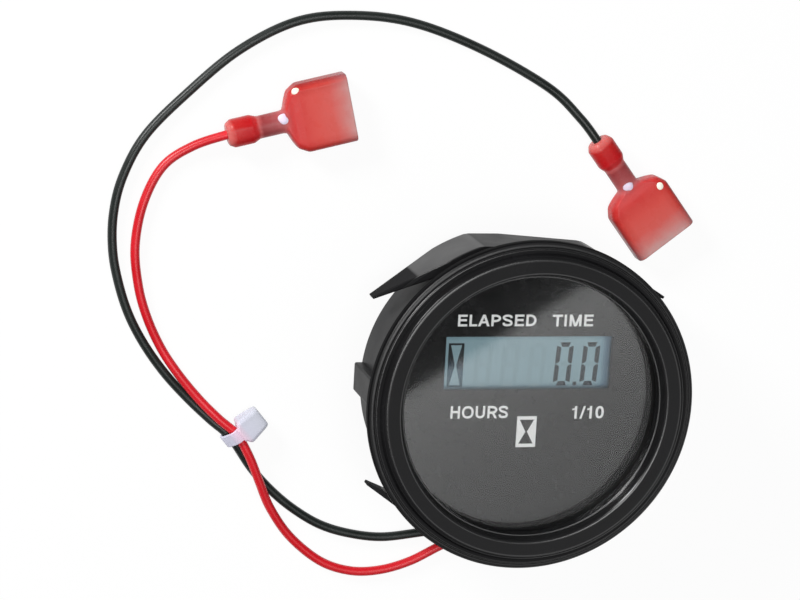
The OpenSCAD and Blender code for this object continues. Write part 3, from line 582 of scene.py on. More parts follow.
terminal = {
    "axisHeight": 2.3, "wireStop": 4.2,
    "black": {"at": (14.5, 43.2), "turn": -52, "mouth": 22.1,
              "crimp": (9.45, -0.15, 1.42), "nib": (12.7, 4.35, 2.2)},
    "red": {"at": (-51.6, 43.7), "turn": 14, "mouth": 21.55,
            "crimp": (9.65, 0.5, 1.42), "nib": (12.4, 5.0, 2.08)},
    "crimpSize": (1.4, 1.15, 0.6), "nibSize": (0.75, 0.65, 0.22),
    "straightFrom": 13.0, "long": 22.0,  # the stretch that is fitted to each mouth
    "mapAlong": (0, 24), "mapAcross": (-6.6, 6.6),
    "crimpMap": (-240, 12),  # puts the whole dome at the pale end of the sleeve's colours: a painted glint
    # along, half width, half height and rounding of each section, out along the skin, back inside
    "skin": [(-0.3, 1.7, 1.6, 1.5), (-0.15, 1.95, 1.8, 1.62), (0.6, 2.38, 2.2, 1.9),
             (0.85, 2.42, 2.25, 1.95), (3.95, 2.42, 2.25, 1.95), (4.2, 2.37, 2.2, 1.95),
             (5.1, 2.0, 1.93, 1.85), (5.4, 1.96, 1.9, 1.85), (9.2, 1.96, 1.9, 1.8),
             (9.8, 2.05, 1.92, 1.6), (10.08, 2.5, 1.94, 1.45), (10.4, 3.3, 1.97, 1.35),
             (10.66, 3.9, 2.0, 1.3), (10.95, 4.5, 2.06, 1.3), (11.2, 4.92, 2.12, 1.3),
             (11.45, 5.15, 2.18, 1.3), (12.0, 5.47, 2.26, 1.3), (12.7, 5.86, 2.3, 1.3),
             (12.95, 5.96, 2.3, 1.3), (13.3, 6.0, 2.3, 1.3), (21.75, 6.0, 2.3, 1.3),
             (21.93, 5.96, 2.26, 1.2), (22.0, 5.88, 2.18, 1.1), (22.0, 4.9, 1.5, 0.6),
             (21.8, 4.5, 1.36, 0.45), (21.2, 4.3, 1.3, 0.45), (12.7, 4.17, 1.28, 0.45)],
}


def atTerminal(spec):
    # turns local points about the table's normal and carries them to the wire's end
    c, s = np.cos(np.radians(spec["turn"])), np.sin(np.radians(spec["turn"]))
    turn = np.array([[c, -s, 0], [s, c, 0], [0, 0, 1]])
    return lambda p: p @ turn.T + np.array([*spec["at"], terminal["axisHeight"]])


def terminalPoint(spec, along):
    return atTerminal(spec)(np.array([along, 0.0, 0.0]))


# leads

lead = {"diameter": 1.6, "lie": 0.85, "joint": 9.4, "sides": 20, "perSpan": 10,
        "guide": (0.5, 0.0, 0.86)}
tie = {"at": (-48.6, -9.6), "turn": 130, "black": (-0.42, 1.8), "red": (0.74, 3.0),
       "play": 0.14, "strap": (2.4, 0.5), "strapRound": 0.2, "slide": 0.28, "headRound": 0.85,
       "map": ((-3, 7), (0, 5)),
       # the head's sections: across, half length along the leads, foot, top
       "head": [(1.25, 1.3, 3.7, 4.5), (1.45, 1.45, 3.2, 4.58), (1.7, 1.85, 1.4, 4.56),
                (1.95, 2.25, 0.62, 4.5), (2.2, 2.4, 0.52, 4.44), (2.6, 2.44, 0.5, 4.34),
                (5.3, 2.14, 0.72, 3.75), (5.85, 2.06, 0.8, 3.55), (6.08, 1.95, 0.92, 3.38),
                (6.2, 1.72, 1.15, 3.1)]}
lie, joint = lead["lie"], lead["joint"]


def atTie(p):
    # local points are across the leads, above the table, along the leads
    a = np.radians(tie["turn"])
    x = tie["at"][0] + p[..., 0] * np.sin(a) - p[..., 2] * np.cos(a)
    y = tie["at"][1] - p[..., 0] * np.cos(a) - p[..., 2] * np.sin(a)
    return np.stack([x, y, p[..., 1]], -1)


def tiePoint(pair):
    return atTie(np.array([*pair, 0.0]))


blackRoute = [
    (3, -14, joint), (3, -14, 7.4), (3, -14, 6), (3, -14, 4.6), (3, -14.5, 2.8), (2.9, -16, 1.4),
    (2.6, -18.3, lie), (1.6, -21.2, lie), (-0.8, -24, lie), (-4.2, -26.2, lie), (-8.5, -27.6, lie),
    (-14, -28.4, lie), (-20.5, -29, lie), (-26.5, -28.2, lie), (-32, -26.4, lie),
    (-37.2, -23.2, lie), (-41.5, -19.5, lie), (-45, -15.5, 1.15), tiePoint(tie["black"]),
    (-52.5, -6.8, 1.3), (-56.4, -3.2, lie), (-60.6, 1.3, lie), (-64.3, 6.3, lie),
    (-67.2, 11.5, lie), (-69.2, 17, lie), (-70.5, 23, lie), (-70.6, 29.5, lie), (-69.2, 36, lie),
    (-65.6, 43.1, lie), (-58.8, 50.35, lie), (-50.2, 57.85, lie), (-40.6, 62.95, lie), (-31, 64.3, lie),
    (-20, 63.3, lie), (-7.5, 59, lie), (5, 52.6, 0.9), (11, 47.4, 1.6),
    terminalPoint(terminal["black"], 0), terminalPoint(terminal["black"], terminal["wireStop"])]
redRoute = [
    (6, -14, joint), (6, -14, 7.4), (6, -14, 6), (6, -14, 4.6), (6, -14.5, 2.8), (6, -16, 1.4),
    (5.8, -18.3, lie), (5, -21.5, lie), (3, -24.3, lie), (-0.2, -26.6, lie), (-4.5, -28.7, lie),
    (-9.6, -31, lie), (-15, -33.7, lie), (-20.5, -35.2, lie), (-26, -35.2, lie),
    (-31.6, -33.2, lie), (-37.2, -28.6, lie), (-41.2, -23, 1.6), (-43.6, -17.8, 2.6),
    (-45.6, -13.2, 3.05), tiePoint(tie["red"]), (-51.4, -6.2, 2.65), (-54.9, -2.8, 1.8),
    (-58.6, 1.6, 1.4), (-61.6, 6, lie), (-64.2, 11.4, lie), (-65.9, 17, lie), (-66.7, 24, lie),
    (-65.5, 31.5, lie), (-62.4, 37.8, lie), (-57.5, 41.4, 1.3),
    terminalPoint(terminal["red"], 0), terminalPoint(terminal["red"], terminal["wireStop"])]


def smoothRoute(route, perSpan):
    # each span is a cubic whose ends point along the line between their neighbours
    p = np.array([np.asarray(q, float) for q in route])
    p = np.concatenate([[2 * p[0] - p[1]], p, [2 * p[-1] - p[-2]]])
    p0, p1, p2, p3 = (p[k:len(p) - 3 + k][:, None] for k in range(4))
    t = (np.arange(perSpan) / perSpan)[None, :, None]
    c = 0.5 * (2 * p1 + (p2 - p0) * t + (2 * p0 - 5 * p1 + 4 * p2 - p3) * t ** 2
               + (3 * p1 - p0 - 3 * p2 + p3) * t ** 3)
    return np.concatenate([c.reshape(-1, 3), p[-2:-1]])


def addLead(name, route, finish, node):
    # a circle carried along the route, its sides kept level by one guide direction
    c = smoothRoute(route, lead["perSpan"])
    t = unit(np.gradient(c, axis=0))
    side = unit(np.cross(np.array(lead["guide"]), t))
    up = np.cross(t, side)
    a = np.linspace(0, 2 * np.pi, lead["sides"], endpoint=False)
    rings = c[:, None] + lead["diameter"] / 2 * (np.cos(a)[:, None] * side[:, None]
                                                + np.sin(a)[:, None] * up[:, None])
    piece = addPiece(name, [shell(rings)], finish, [node])
    return piece, c


blackLead, blackPath = addLead("blackLead", blackRoute, finishes["blackLead"], "black_lead")
redLead, redPath = addLead("redLead", redRoute, finishes["redLead"], "red_lead")
print("leads laid", *(round(float(np.linalg.norm(np.diff(p, axis=0), axis=1).sum()), 2)
                      for p in (blackPath, redPath)))


# terminals

sleeveLook = {
    # colours by the distance from the wire end in mm; the last one is the painted glint on the crimp's dome
    "along": [(0, (204, 104, 100)), (1.0, (186, 42, 42)), (3.6, (182, 28, 32)), (4.7, (190, 46, 48)),
              (5.2, (190, 96, 96)), (5.9, (150, 62, 64)), (7.8, (160, 80, 82)), (9.6, (184, 96, 98)),
              (10.4, (192, 62, 62)), (12, (200, 60, 57)), (15, (208, 80, 73)), (18, (206, 91, 84)),
              (20.0, (200, 118, 114)), (21.6, (194, 148, 145)), (22.6, (194, 148, 145)),
              (23.2, (247, 216, 237))],
    # painted shade from the middle of the sleeve out to its side, by the share of the map's width
    "sides": [(0.22, grey(1)), (0.1, (0.86, 0.6, 0.6, 1)), (0.05, (0.56, 0.36, 0.42, 1))],
    "wobble": 0.05, "cloud": 500, "rough": (0.22, 0.34), "specular": 0.12, "grain": 1800, "depth": 0.015,
    "under": 0.3, "underRadius": (1.0, 0.3, 0.25), "underScale": 0.001,
}


def sleeveFinish(name, look):
    # red by the thickness of the moulding: deep on the barrel, greyed by the metal in the neck,
    # paler towards the open mouth, and darker along its sides as painted shade; the map runs along and
    # across
    mat, tree, shader, coords = startFinish(name)
    along, across, w = axes(tree, coords.outputs["UV"])
    cloud = noiseField(tree, coords.outputs["Object"], look["cloud"], 3.0)
    wobble = tree.nodes.new("ShaderNodeMath")
    wobble.operation = "MULTIPLY_ADD"
    wobble.inputs[1].default_value = look["wobble"]
    wire(tree, cloud, wobble.inputs[0])
    wire(tree, along, wobble.inputs[2])
    body = ramp(tree, wobble.outputs[0], [(at / terminal["mapAlong"][1] + look["wobble"] / 2, rgb(*c))
                                          for at, c in look["along"]])
    # the sleeve's sides are darkened: painted shade
    sideShade = look["sides"]
    sides = ramp(tree, across, sideShade[::-1] + [(1 - at, c) for at, c in sideShade])
    wire(tree, times(tree, body, sides), shader.inputs["Base Color"])
    wire(tree, span(tree, cloud, *look["rough"]), shader.inputs["Roughness"])
    shader.inputs["Specular IOR Level"].default_value = look["specular"]
    shader.inputs["Subsurface Weight"].default_value = look["under"]
    shader.inputs["Subsurface Radius"].default_value = look["underRadius"]
    shader.inputs["Subsurface Scale"].default_value = look["underScale"]
    addBump(tree, shader, noiseField(tree, coords.outputs["Object"], look["grain"], 2.0), look["depth"] * mm)
    return mat


finishes["sleeve"] = sleeveFinish("translucentSleeve", sleeveLook)


def planMap(part, x, y):
    # maps a part by its plan: x and y give the two ends of each side of the map
    p = part["points"]
    flat = np.stack([(p[:, 0] - x[0]) / (x[1] - x[0]), (p[:, 1] - y[0]) / (y[1] - y[0])], -1)
    return {**part, "uv": flat[part["quads"]], "fanUv": flat[part["fans"]]}


def dome(at, size):
    # an ellipsoid as rings from its foot to its top
    t = np.linspace(-np.pi / 2 + 0.05, np.pi / 2 - 0.05, 13)
    a = np.linspace(0, 2 * np.pi, 24, endpoint=False)
    ball = np.stack([np.cos(t)[:, None] * np.cos(a), np.cos(t)[:, None] * np.sin(a),
                     np.broadcast_to(np.sin(t)[:, None], (13, 24))], -1)
    return shell(ball * np.array(size) + np.array(at))


def addTerminal(name, spec, nodeName):
    # the sleeve's sections are carried along local x, over the mouth's lip and back inside; a
    # dome with a painted glint stands up in the neck, and a nib on the housing
    skin = np.array(terminal["skin"])
    n = len(skin)
    start, end = terminal["straightFrom"], terminal["long"]
    fitted = start + (skin[:, 0] - start) * (spec["mouth"] - start) / (end - start)
    skin[:, 0] = np.where(skin[:, 0] > start, fitted, skin[:, 0])
    centre = np.stack([skin[:, 0], np.zeros(n), np.zeros(n)], -1)
    across = np.tile([0.0, 1.0, 0.0], (n, 1))
    rise = np.tile([0.0, 0.0, 1.0], (n, 1))
    carry = atTerminal(spec)
    sleeve = band(centre, across, rise, skin[:, 1], skin[:, 2], skin[:, 3], 9)
    # the neck's dome is coloured pale pink-white: a painted glint
    crimp = dome(spec["crimp"], terminal["crimpSize"])
    parts = [planMap(sleeve, terminal["mapAlong"], terminal["mapAcross"]),
             planMap(crimp, terminal["crimpMap"], terminal["mapAcross"])]
    piece = addPiece(name + "Sleeve", [moved(q, carry) for q in parts], finishes["sleeve"],
                     [nodeName + "_sleeve"], sharp=50, weighted=True)
    # the nib is painted near white, a painted glint on it
    nib = moved(dome(spec["nib"], terminal["nibSize"]), carry)
    addPiece(name + "Nib", [nib], finishes["nib"])
    return piece


blackSleeve = addTerminal("black", terminal["black"], "black_terminal")
redSleeve = addTerminal("red", terminal["red"], "red_terminal")
print("terminals made")


# cable tie

def addTie():
    # the strap's section is carried round both leads; the head is a block whose sections widen
    # from the strap and narrow again to its outer end
    wide, thick = tie["strap"]
    a, b = np.array(tie["black"]), np.array(tie["red"])
    lean = np.arctan2(*(b - a)[::-1])
    t = np.linspace(0, 2 * np.pi, 64, endpoint=False)
    r = lead["diameter"] / 2 + tie["play"] + thick / 2
    out = np.stack([np.cos(t + lean), np.sin(t + lean)], -1)
    mid = np.where(np.cos(t)[:, None] > 0, b, a) + r * out
    flat = np.zeros((len(t), 1))
    strap = band(np.concatenate([mid, flat], 1), np.concatenate([out, flat], 1),
                 np.tile([0.0, 0.0, 1.0], (len(t), 1)), thick / 2, wide / 2, tie["strapRound"], closed=True)
    across, half, foot, top = np.array(tie["head"]).T
    n = len(across)
    centre = np.stack([across, (foot + top) / 2, np.full(n, tie["slide"])], -1)
    head = band(centre, np.tile([0.0, 0.0, 1.0], (n, 1)), np.tile([0.0, 1.0, 0.0], (n, 1)),
                half, (top - foot) / 2, np.minimum(tie["headRound"], 0.45 * (top - foot)))
    parts = [moved(planMap(q, *tie["map"]), atTie) for q in (strap, head)]
    return addPiece("cableTie", parts, finishes["tie"], ["cable_tie"], weighted=True)


cableTie = addTie()
print("tie closed")


# case: can, flange, key and spring fingers

canRadius = 25.8
case = {
    "section": [(24.8, 0), (canRadius, 0), (canRadius, 18.5), (29.08, 18.5), (29.08, 20.5),
                (24.3, 20.5), (24.3, 15.6), (22.6, 15.6), (22.6, 14.6), (24.3, 14.6), (24.3, 6.4),
                (24.8, 6.4)],
    "rounding": [0.2, 0.35, 0.3, 0.35, 0.72, 0.15, 0.1, 0.1, 0.1, 0.1, 0.1, 0.1],
    "steps": 240, "notchWide": 11, "notchHigh": 2.6, "notchReach": 6.0,
    "key": {"wide": 6.6, "proud": 1.35, "rear": 0.8, "front": 18.6, "slope": 1.7, "foot": 25.0, "edge": 0.3},
    "finger": {"gap": 0.6, "thick": 2.0, "kink": (32, 34), "arms": (13.6, 11.8), "rear": 3.0, "front": 14.2,
               "tip": (6.5, 9.0), "tipThick": 0.5, "flat": 1.5, "lean": 0.08, "leanFrom": -3,
               "armSteps": 8, "arcSteps": 41, "root": 9, "rootFoot": 25.0, "rootSink": 0.1},
}


def canShell():
    # the turned section; over the notch the rear rim is squeezed up to the notch's top
    edge = np.arcsin(case["notchWide"] / 2 / canRadius)
    a = np.linspace(-np.pi / 2, 1.5 * np.pi, case["steps"], endpoint=False)
    a = np.sort(np.concatenate([a, -np.pi / 2 + edge + np.array([-0.002, 0.002]),
                                1.5 * np.pi - edge + np.array([-0.002, 0.002])]))
    off = np.abs((a + np.pi / 2 + np.pi) % (2 * np.pi) - np.pi)
    rings = turned(roundedOutline(case["section"], case["rounding"], 6, 0.06), a)
    z = rings[..., 2]
    high, reach = case["notchHigh"], case["notchReach"]
    squeezed = np.where(z < reach, high + z * (1 - high / reach), z)
    rings[..., 2] = np.where((off < edge)[:, None], squeezed, z)
    return shell(rings, closed=True)


def fingerShell(reach, bend):
    # a bar with rounded edges from tip to tip: straight arm, arc over the can, straight arm; the
    # arms thin from the inside towards their tips, and the crown is cut flat and leans to the right
    f = case["finger"]
    outer = canRadius + f["gap"] + f["thick"]
    kink = np.radians(bend)
    one, none = np.ones(f["armSteps"]), np.zeros(f["arcSteps"])
    arm = np.linspace(1, 0, f["armSteps"] + 1)[:-1]
    a = np.pi / 2 + kink * np.concatenate([one, np.linspace(1, -1, f["arcSteps"]), -one])
    out = np.concatenate([arm, none, arm[::-1]])
    sign = np.concatenate([one, none, -one])
    n = len(a)
    normal = np.stack([np.cos(a), np.sin(a), np.zeros(n)], -1)
    run = np.stack([-np.sin(a), np.cos(a), np.zeros(n)], -1)
    low = f["rear"] + out * (f["tip"][0] - f["rear"])
    top = f["front"] + out * (f["tip"][1] - f["front"])
    thick = f["thick"] + out * (f["tipThick"] - f["thick"])
    centre = (outer - thick / 2)[:, None] * normal + run * (sign * out * reach)[:, None]
    centre[:, 2] = (low + top) / 2
    bar = band(centre, normal, np.tile([0.0, 0.0, 1.0], (n, 1)), thick / 2, (top - low) / 2,
               np.minimum(0.25, 0.4 * thick))
    x, y = bar["points"][:, 0], bar["points"][:, 1]
    bar["points"][:, 1] = np.minimum(y, outer - f["flat"] - f["lean"] * np.maximum(x - f["leanFrom"], 0))
    return bar


def rootShell():
    # the block between the can and the finger, a part of a ring
    f = case["finger"]
    w = np.radians(f["root"])
    sink = f["rootSink"]
    inner, outer = f["rootFoot"], canRadius + f["gap"] + sink
    a = np.linspace(np.pi / 2 - w, np.pi / 2 + w, 13)
    ring = np.stack([np.cos(a), np.sin(a)], -1)
    return prism(np.concatenate([outer * ring, inner * ring[::-1]]), f["rear"] + sink, f["front"] - sink)


def keyShell():
    # a raised bar along the can, with one side sloped off
    k = case["key"]
    half, face, slope = k["wide"] / 2, canRadius + k["proud"], k["slope"]
    outline = roundedOutline(
        [(-k["foot"], half), (-face, half), (-face, slope - half), (-k["foot"], -half - slope / 4)],
        [0.1, 0.35, 0.5, 0.1], pad=0.1)
    return prism(outline, k["rear"], k["front"], k["edge"])


upper, lower = (fingerShell(*pair) for pair in zip(case["finger"]["arms"], case["finger"]["kink"]))
root = rootShell()
addPiece("meterCase", [canShell(), upper, mirrored(lower, 1), root, mirrored(root, 1), keyShell()],
         finishes["case"], ["case"], weighted=True)
print("case made")


# bezel ring

bezel = {
    "section": [(22.8, 18.4), (24.2, 18.4), (24.2, 20.5), (28.08, 20.5), (28.08, 20.9), (27.15, 20.9),
                (26.66, 22.25), (23.55, 22.15), (23.1, 20.4), (22.8, 20.4)],
    "rounding": [0.1, 0.1, 0.05, 0.04, 0.34, 0.1, 0.75, 0.5, 0.1, 0.14], "steps": 240,
}


def addBezel():
    # the ring's section turned round the axis: step, sloping wall, lip, front, crest, wall, ledge
    a = np.linspace(0, 2 * np.pi, bezel["steps"], endpoint=False)
    outline = roundedOutline(bezel["section"], bezel["rounding"], 9, 0.04)
    return addPiece("bezelRing", [shell(turned(outline, a), closed=True)], finishes["bezel"],
                    ["bezel_ring"], weighted=True)


addBezel()
print("bezel turned")


# lens, dial and display

front = {"lensRadius": 24.2, "lensLow": 16.9, "lensHigh": 18.38, "lensEdge": 0.12, "lensSteps": 192,
         "dialTop": 16.4, "inkThick": 0.03, "segmentLevel": 14.71, "segmentThick": 0.03,
         "glass": {"wide": 33, "high": 14, "middle": 6.8, "low": 14.76, "top": 15.58, "corner": 0.25,
                   "edge": 0.1}}


def addLens():
    # a circle raised to a flat window, its edges rounded
    a = np.linspace(0, 2 * np.pi, front["lensSteps"], endpoint=False)
    ring = front["lensRadius"] * np.stack([np.cos(a), np.sin(a)], -1)
    window = prism(ring, front["lensLow"], front["lensHigh"], front["lensEdge"])
    return addPiece("lensWindow", [window], finishes["lens"], ["lens"], weighted=True)


def addDisplayGlass():
    # the cell's front plate: a rectangle with round corners and edges
    g = front["glass"]
    w, low, top = g["wide"] / 2, g["middle"] - g["high"] / 2, g["middle"] + g["high"] / 2
    outline = roundedOutline([(-w, low), (w, low), (w, top), (-w, top)], g["corner"], pad=0.1)
    return addPiece("displayGlass", [prism(outline, g["low"], g["top"], g["edge"])], finishes["glass"],
                    ["lcd_front_glass"], weighted=True)


addLens()
addDisplayGlass()
print("lens and display glass made")

legends = [
    {"words": "ELAPSED", "left": -13.15, "right": 0.85, "low": 13.4, "high": 15.46},
    {"words": "TIME", "left": 3.75, "right": 11.12, "low": 13.34, "high": 15.43},
    {"words": "HOURS", "left": -13.5, "right": -3.18, "low": -2.95, "high": -0.72},
    {"words": "1/10", "left": 8.45, "right": 14.25, "low": -3.2, "high": -0.95},
]
lettering = {"stroke": 0.185, "curveSteps": 14, "barStep": 0.004, "curveRise": 0.02,
             # ink width and the blank before and after it, in cap heights
             "widths": {"E": (0.72, 0.11, 0.06), "L": (0.62, 0.1, 0.04), "A": (0.92, 0.01, 0.01),
                        "P": (0.74, 0.11, 0.06), "S": (0.8, 0.06, 0.06), "D": (0.8, 0.11, 0.07),
                        "T": (0.8, 0.02, 0.02), "I": (0.185, 0.12, 0.12), "M": (0.95, 0.1, 0.1),
                        "H": (0.79, 0.1, 0.1), "O": (0.98, 0.06, 0.06), "U": (0.79, 0.1, 0.1),
                        "R": (0.82, 0.11, 0.05), "1": (0.38, 0.12, 0.22), "/": (0.46, 0.0, 0.0),
                        "0": (0.66, 0.06, 0.06)}}


def letterStrokes(ch):
    # straight bars as outlines and curved strokes as centre lines, in a box one cap height tall
    s, n = lettering["stroke"], lettering["curveSteps"]
    w, h = lettering["widths"][ch][0], s / 2
    mid = 0.53
    arc = np.linspace(np.pi / 2, -np.pi / 2, n)

    def bar(x0, x1, y0, y1):
        return np.array([(x0, y0), (x1, y0), (x1, y1), (x0, y1)])

    def lean(x0, x1, thick):
        # a sloping bar from the foot at x0 to the head at x1
        return np.array([(x0, 0), (x0 + thick, 0), (x1 + thick, 1), (x1, 1)])

    def bowl(x, top, foot):
        # out along the top, round, and back along the foot
        r = (top - foot) / 2
        turn = np.stack([x + (w - h - x) * np.cos(arc), (top + foot) / 2 + r * np.sin(arc)], -1)
        return np.concatenate([[(h, top)], turn, [(h, foot)]])

    def oval(rx, ry):
        t = np.linspace(0, 2 * np.pi, 4 * n, endpoint=False)
        return np.stack([w / 2 + rx * np.sign(np.cos(t)) * np.abs(np.cos(t)) ** 0.9,
                         0.5 + ry * np.sign(np.sin(t)) * np.abs(np.sin(t)) ** 0.9], -1)

    stem, right = bar(0, s, 0, 1), bar(w - s, w, 0, 1)
    top, foot = bar(0, w, 1 - s, 1), bar(0, w, 0, s)
    middle = bar(0, w * 0.94, mid - h, mid + h)
    curves, ring = [], None
    if ch == "S":
        knots = [(w - h, 0.71), (w - 0.17, 0.86), (w / 2, 1 - h), (0.17, 0.86), (h, 0.73), (0.2, 0.6),
                 (w / 2, 0.52), (w - 0.18, 0.43), (w - h, 0.27), (w - 0.17, 0.14), (w / 2, h),
                 (0.16, 0.14), (h, 0.3)]
        curves = [smoothRoute([(*k, 0) for k in knots], 4)[:, :2]]
    if ch in "DPR":
        curves = [bowl(w * 0.4, 1 - h, h if ch == "D" else 0.45)]
    if ch == "U":
        under = np.stack([w / 2 - (w / 2 - h) * np.sin(arc), 0.36 - (0.36 - h) * np.cos(arc)], -1)
        curves = [np.concatenate([[(h, 1)], under, [(w - h, 1)]])]
    if ch in "O0":
        ring = oval(w / 2 - h, 0.5 - h)
    bars = {
        "E": [stem, top, middle, foot], "L": [stem, foot], "P": [stem], "D": [stem], "H": [
            stem, right, bar(0, w, mid - h, mid + h)], "I": [stem],
        "T": [top, bar(w / 2 - h, w / 2 + h, 0, 1)],
        "A": [lean(0, w / 2 - h, s * 1.06), lean(w - s * 1.06, w / 2 - h, s * 1.06),
              bar(0.2, w - 0.2, 0.26, 0.26 + s * 0.9)],
        "M": [stem, right, lean(w / 2 - h, 0, s * 1.1), lean(w / 2 - h, w - s * 1.1, s * 1.1)],
        "R": [stem, np.array([(w - s * 1.15, 0), (w, 0), (w * 0.66, 0.48), (w * 0.66 - s * 1.15, 0.48)])],
        "1": [bar(w - s, w, 0, 1), np.array([(0, 0.68), (w - h, 0.72), (w - h, 0.86), (0, 0.8)])],
        "/": [lean(0, w - s * 0.9, s * 0.9)],
    }.get(ch, [])
    return bars, curves, ring


def addLegend(legend):
    # each letter's bars and curves are set side by side, then fitted to their box on the dial;
    # strokes that cross end at different heights
    low, high = front["dialTop"], front["dialTop"] + front["inkThick"]
    pen, bars, lines = 0.0, [], []
    for ch in legend["words"]:
        wide, before, after = lettering["widths"][ch]
        straight, curved, ring = letterStrokes(ch)
        shift = np.array([pen + before, 0])
        bars += [(b + shift, k) for k, b in enumerate(straight)]
        lines += [(c + shift, False) for c in curved] + ([(ring + shift, True)] if ring is not None else [])
        pen += before + wide + after
    first, last = lettering["widths"][legend["words"][0]][1], lettering["widths"][legend["words"][-1]][2]
    scale = np.array([(legend["right"] - legend["left"]) / (pen - first - last),
                      legend["high"] - legend["low"]])
    start = np.array([legend["left"] - first * scale[0], legend["low"]])
    shells = [prism(b * scale + start, low, high + lettering["barStep"] * k) for b, k in bars]
    for line, around in lines:
        run = np.roll(line, -1, 0) - np.roll(line, 1, 0) if around else np.gradient(line, axis=0)
        side = unit(np.stack([run[:, 1], -run[:, 0]], -1)) * lettering["stroke"] / 2
        edges = [(line + k * side) * scale + start for k in (-1, 1)]
        flat = np.stack([edges[0], edges[1], edges[1], edges[0]], 1)
        rise = high + lettering["curveRise"]
        z = np.broadcast_to(np.array([low, low, rise, rise])[:, None], (len(line), 4, 1))
        shells.append(shell(np.concatenate([flat, z], -1), closed=around))
    name = "legend_" + "".join(ch for ch in legend["words"].lower() if ch.isalnum())
    addPiece(name, shells, finishes["ink"])


def plates(outlines, level, thick):
    # thin plates with the given outlines, all at one height
    return [prism(np.asarray(o, float), level, level + thick) for o in outlines]


def hourglassOutlines(x0, x1, y0, y1, side, rim, waist):
    # a border and two side pieces that leave the two bulbs of a sand glass open
    xm, ym = (x0 + x1) / 2, (y0 + y1) / 2
    l, r, b, t = x0 + side, x1 - side, y0 + rim, y1 - rim
    return [[(x0, y0), (x1, y0), (x1, b), (x0, b)], [(x0, t), (x1, t), (x1, y1), (x0, y1)],
            [(x0, b), (l, b), (l, t), (x0, t)], [(r, b), (x1, b), (x1, t), (r, t)],
            [(l, b), (xm - waist, ym), (l, t)], [(r, t), (xm + waist, ym), (r, b)]]


# left, right, foot and top of each, then its side, its rim and half its waist
symbol = (-1.45, 2.1, -8.2, -2.65, 0.48, 0.62, 0.14)
mark = (-14.05, -11.25, 2.2, 10.02, 0.42, 0.36, 0.12)
addPiece("hourglassSymbol", plates(hourglassOutlines(*symbol), front["dialTop"], front["inkThick"]),
         finishes["ink"])


def segmentFinish(name, look):
    # display fluid, with painted shading: darker at the top of the figure than at its foot
    mat, tree, shader, coords = startFinish(name)
    x, y, z = axes(tree, coords.outputs["Object"])
    foot, top = look.get("span", (2.2, 10.2))
    level = span(tree, y, 0.0, 1.0, foot * mm, top * mm)
    wire(tree, ramp(tree, level, [(at, rgb(*c)) for at, c in look["stops"]]), shader.inputs["Base Color"])
    wire(tree, span(tree, noiseField(tree, coords.outputs["Object"], 800, 2.0), 0.4, 0.5),
         shader.inputs["Roughness"])
    shader.inputs["Specular IOR Level"].default_value = 0.2
    return mat


finishes["segment"] = segmentFinish("darkSegment", {
    "stops": [(0.0, (4, 34, 44)), (1.0, (3, 28, 38))]})
finishes["ghost"] = segmentFinish("faintSegment", {
    "stops": [(0.0, (147, 172, 180)), (1.0, (144, 170, 178))]})
# the sand glass goes from a dark top to a lighter foot: painted shading
finishes["glassMark"] = segmentFinish("hourglassSegment", {
    "stops": [(0.0, (42, 82, 96)), (0.34, (34, 78, 98)), (0.5, (12, 44, 60)), (0.62, (4, 18, 26)),
              (1.0, (3, 12, 18))]})

digit = {"wide": 3.05, "high": 7.75, "bar": 0.8, "gap": 0.11, "slant": 0.053, "pitch": 4.84,
         "left": 5.06, "foot": 2.35, "cut": 0.5, "point": (8.72, 0.02, 0.68, 0.66), "unlit": (1, 2, 3)}


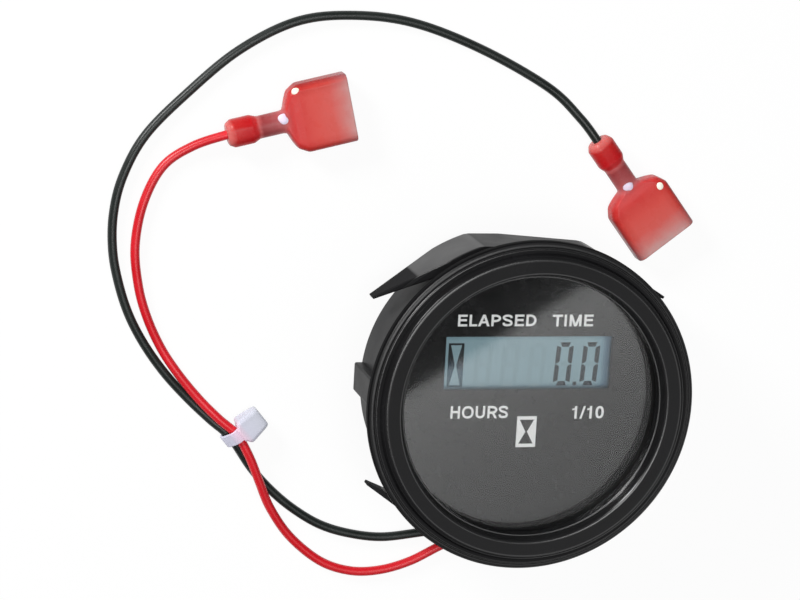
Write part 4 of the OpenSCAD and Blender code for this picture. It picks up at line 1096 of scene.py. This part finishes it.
def digitOutlines(left, letters):
    # seven bars of a leaning figure, each with mitred ends
    w, h, b, g, c = (digit[k] for k in ("wide", "high", "bar", "gap", "cut"))
    m = h / 2
    bars = {
        "a": [(c + g, h), (w - c - g, h), (w - b - g, h - b), (b + g, h - b)],
        "d": [(b + g, b), (w - b - g, b), (w - c - g, 0), (c + g, 0)],
        "f": [(0, h - c - g), (b, h - b - g), (b, m + b / 2 + g), (b / 2, m + g), (0, m + g)],
        "e": [(0, m - g), (b / 2, m - g), (b, m - b / 2 - g), (b, b + g), (0, c + g)],
        "b": [(w - b, h - b - g), (w, h - c - g), (w, m + g), (w - b / 2, m + g), (w - b, m + b / 2 + g)],
        "c": [(w - b, m - b / 2 - g), (w - b / 2, m - g), (w, m - g), (w, c + g), (w - b, b + g)],
        "g": [(b / 2 + g, m), (b + g, m + b / 2), (w - b - g, m + b / 2), (w - b / 2 - g, m),
              (w - b - g, m - b / 2), (b + g, m - b / 2)],
    }
    lean = np.array([[1, 0], [digit["slant"], 1]])
    return [np.array(bars[k]) @ lean + np.array([left, digit["foot"]]) for k in letters]


level, thick = front["segmentLevel"], front["segmentThick"]
tens, pitch = digit["left"], digit["pitch"]
shown = digitOutlines(tens, "abcdef") + digitOutlines(tens + pitch, "abcdef")
x, y, wide, high = digit["point"]
point = np.array([(0, 0), (wide, 0), (wide, high), (0, high)]) + np.array([x, digit["foot"] + y])
addPiece("displayFigures", plates(shown + [point], level, thick), finishes["segment"])
unlit = [o for k in digit["unlit"] for o in digitOutlines(tens - k * pitch, "abcdefg")]
unlit += digitOutlines(tens, "g") + digitOutlines(tens + pitch, "g")
addPiece("displayGhosts", plates(unlit, level, thick), finishes["ghost"])
addPiece("displayHourglass", plates(hourglassOutlines(*mark), level, thick), finishes["glassMark"])
for legend in legends:
    addLegend(legend)
print("dial and display made")


# finishes for the solids that stay as they are

kept = {
    "dial_plate": "dial", "lens_gasket": "rubber",
    "lcd_rear_glass": "film", "lcd_reflector": "film", "lcd_holder": "holder",
    "contact_strips": "strip", "circuit_board": "board",
    "controller_chip": "chip", "quartz_crystal": "bright", "filter_capacitor": "bright", "rectifier": "chip",
    "surge_disc": "disc", "dropping_resistors": "resistor", "lithium_cell": "steel", "cell_tabs": "steel",
    "lead_joints": "solder", "board_screws": "steel", "back_cover": "rear", "lead_grommet": "rubber",
    "black_terminal_contact": "contact", "red_terminal_contact": "contact",
}
for nodeName, finishName in kept.items():
    mesh = nodes[nodeName].data
    mesh.materials.clear()
    mesh.materials.append(finishes[finishName])
print("solids dressed", len(kept))
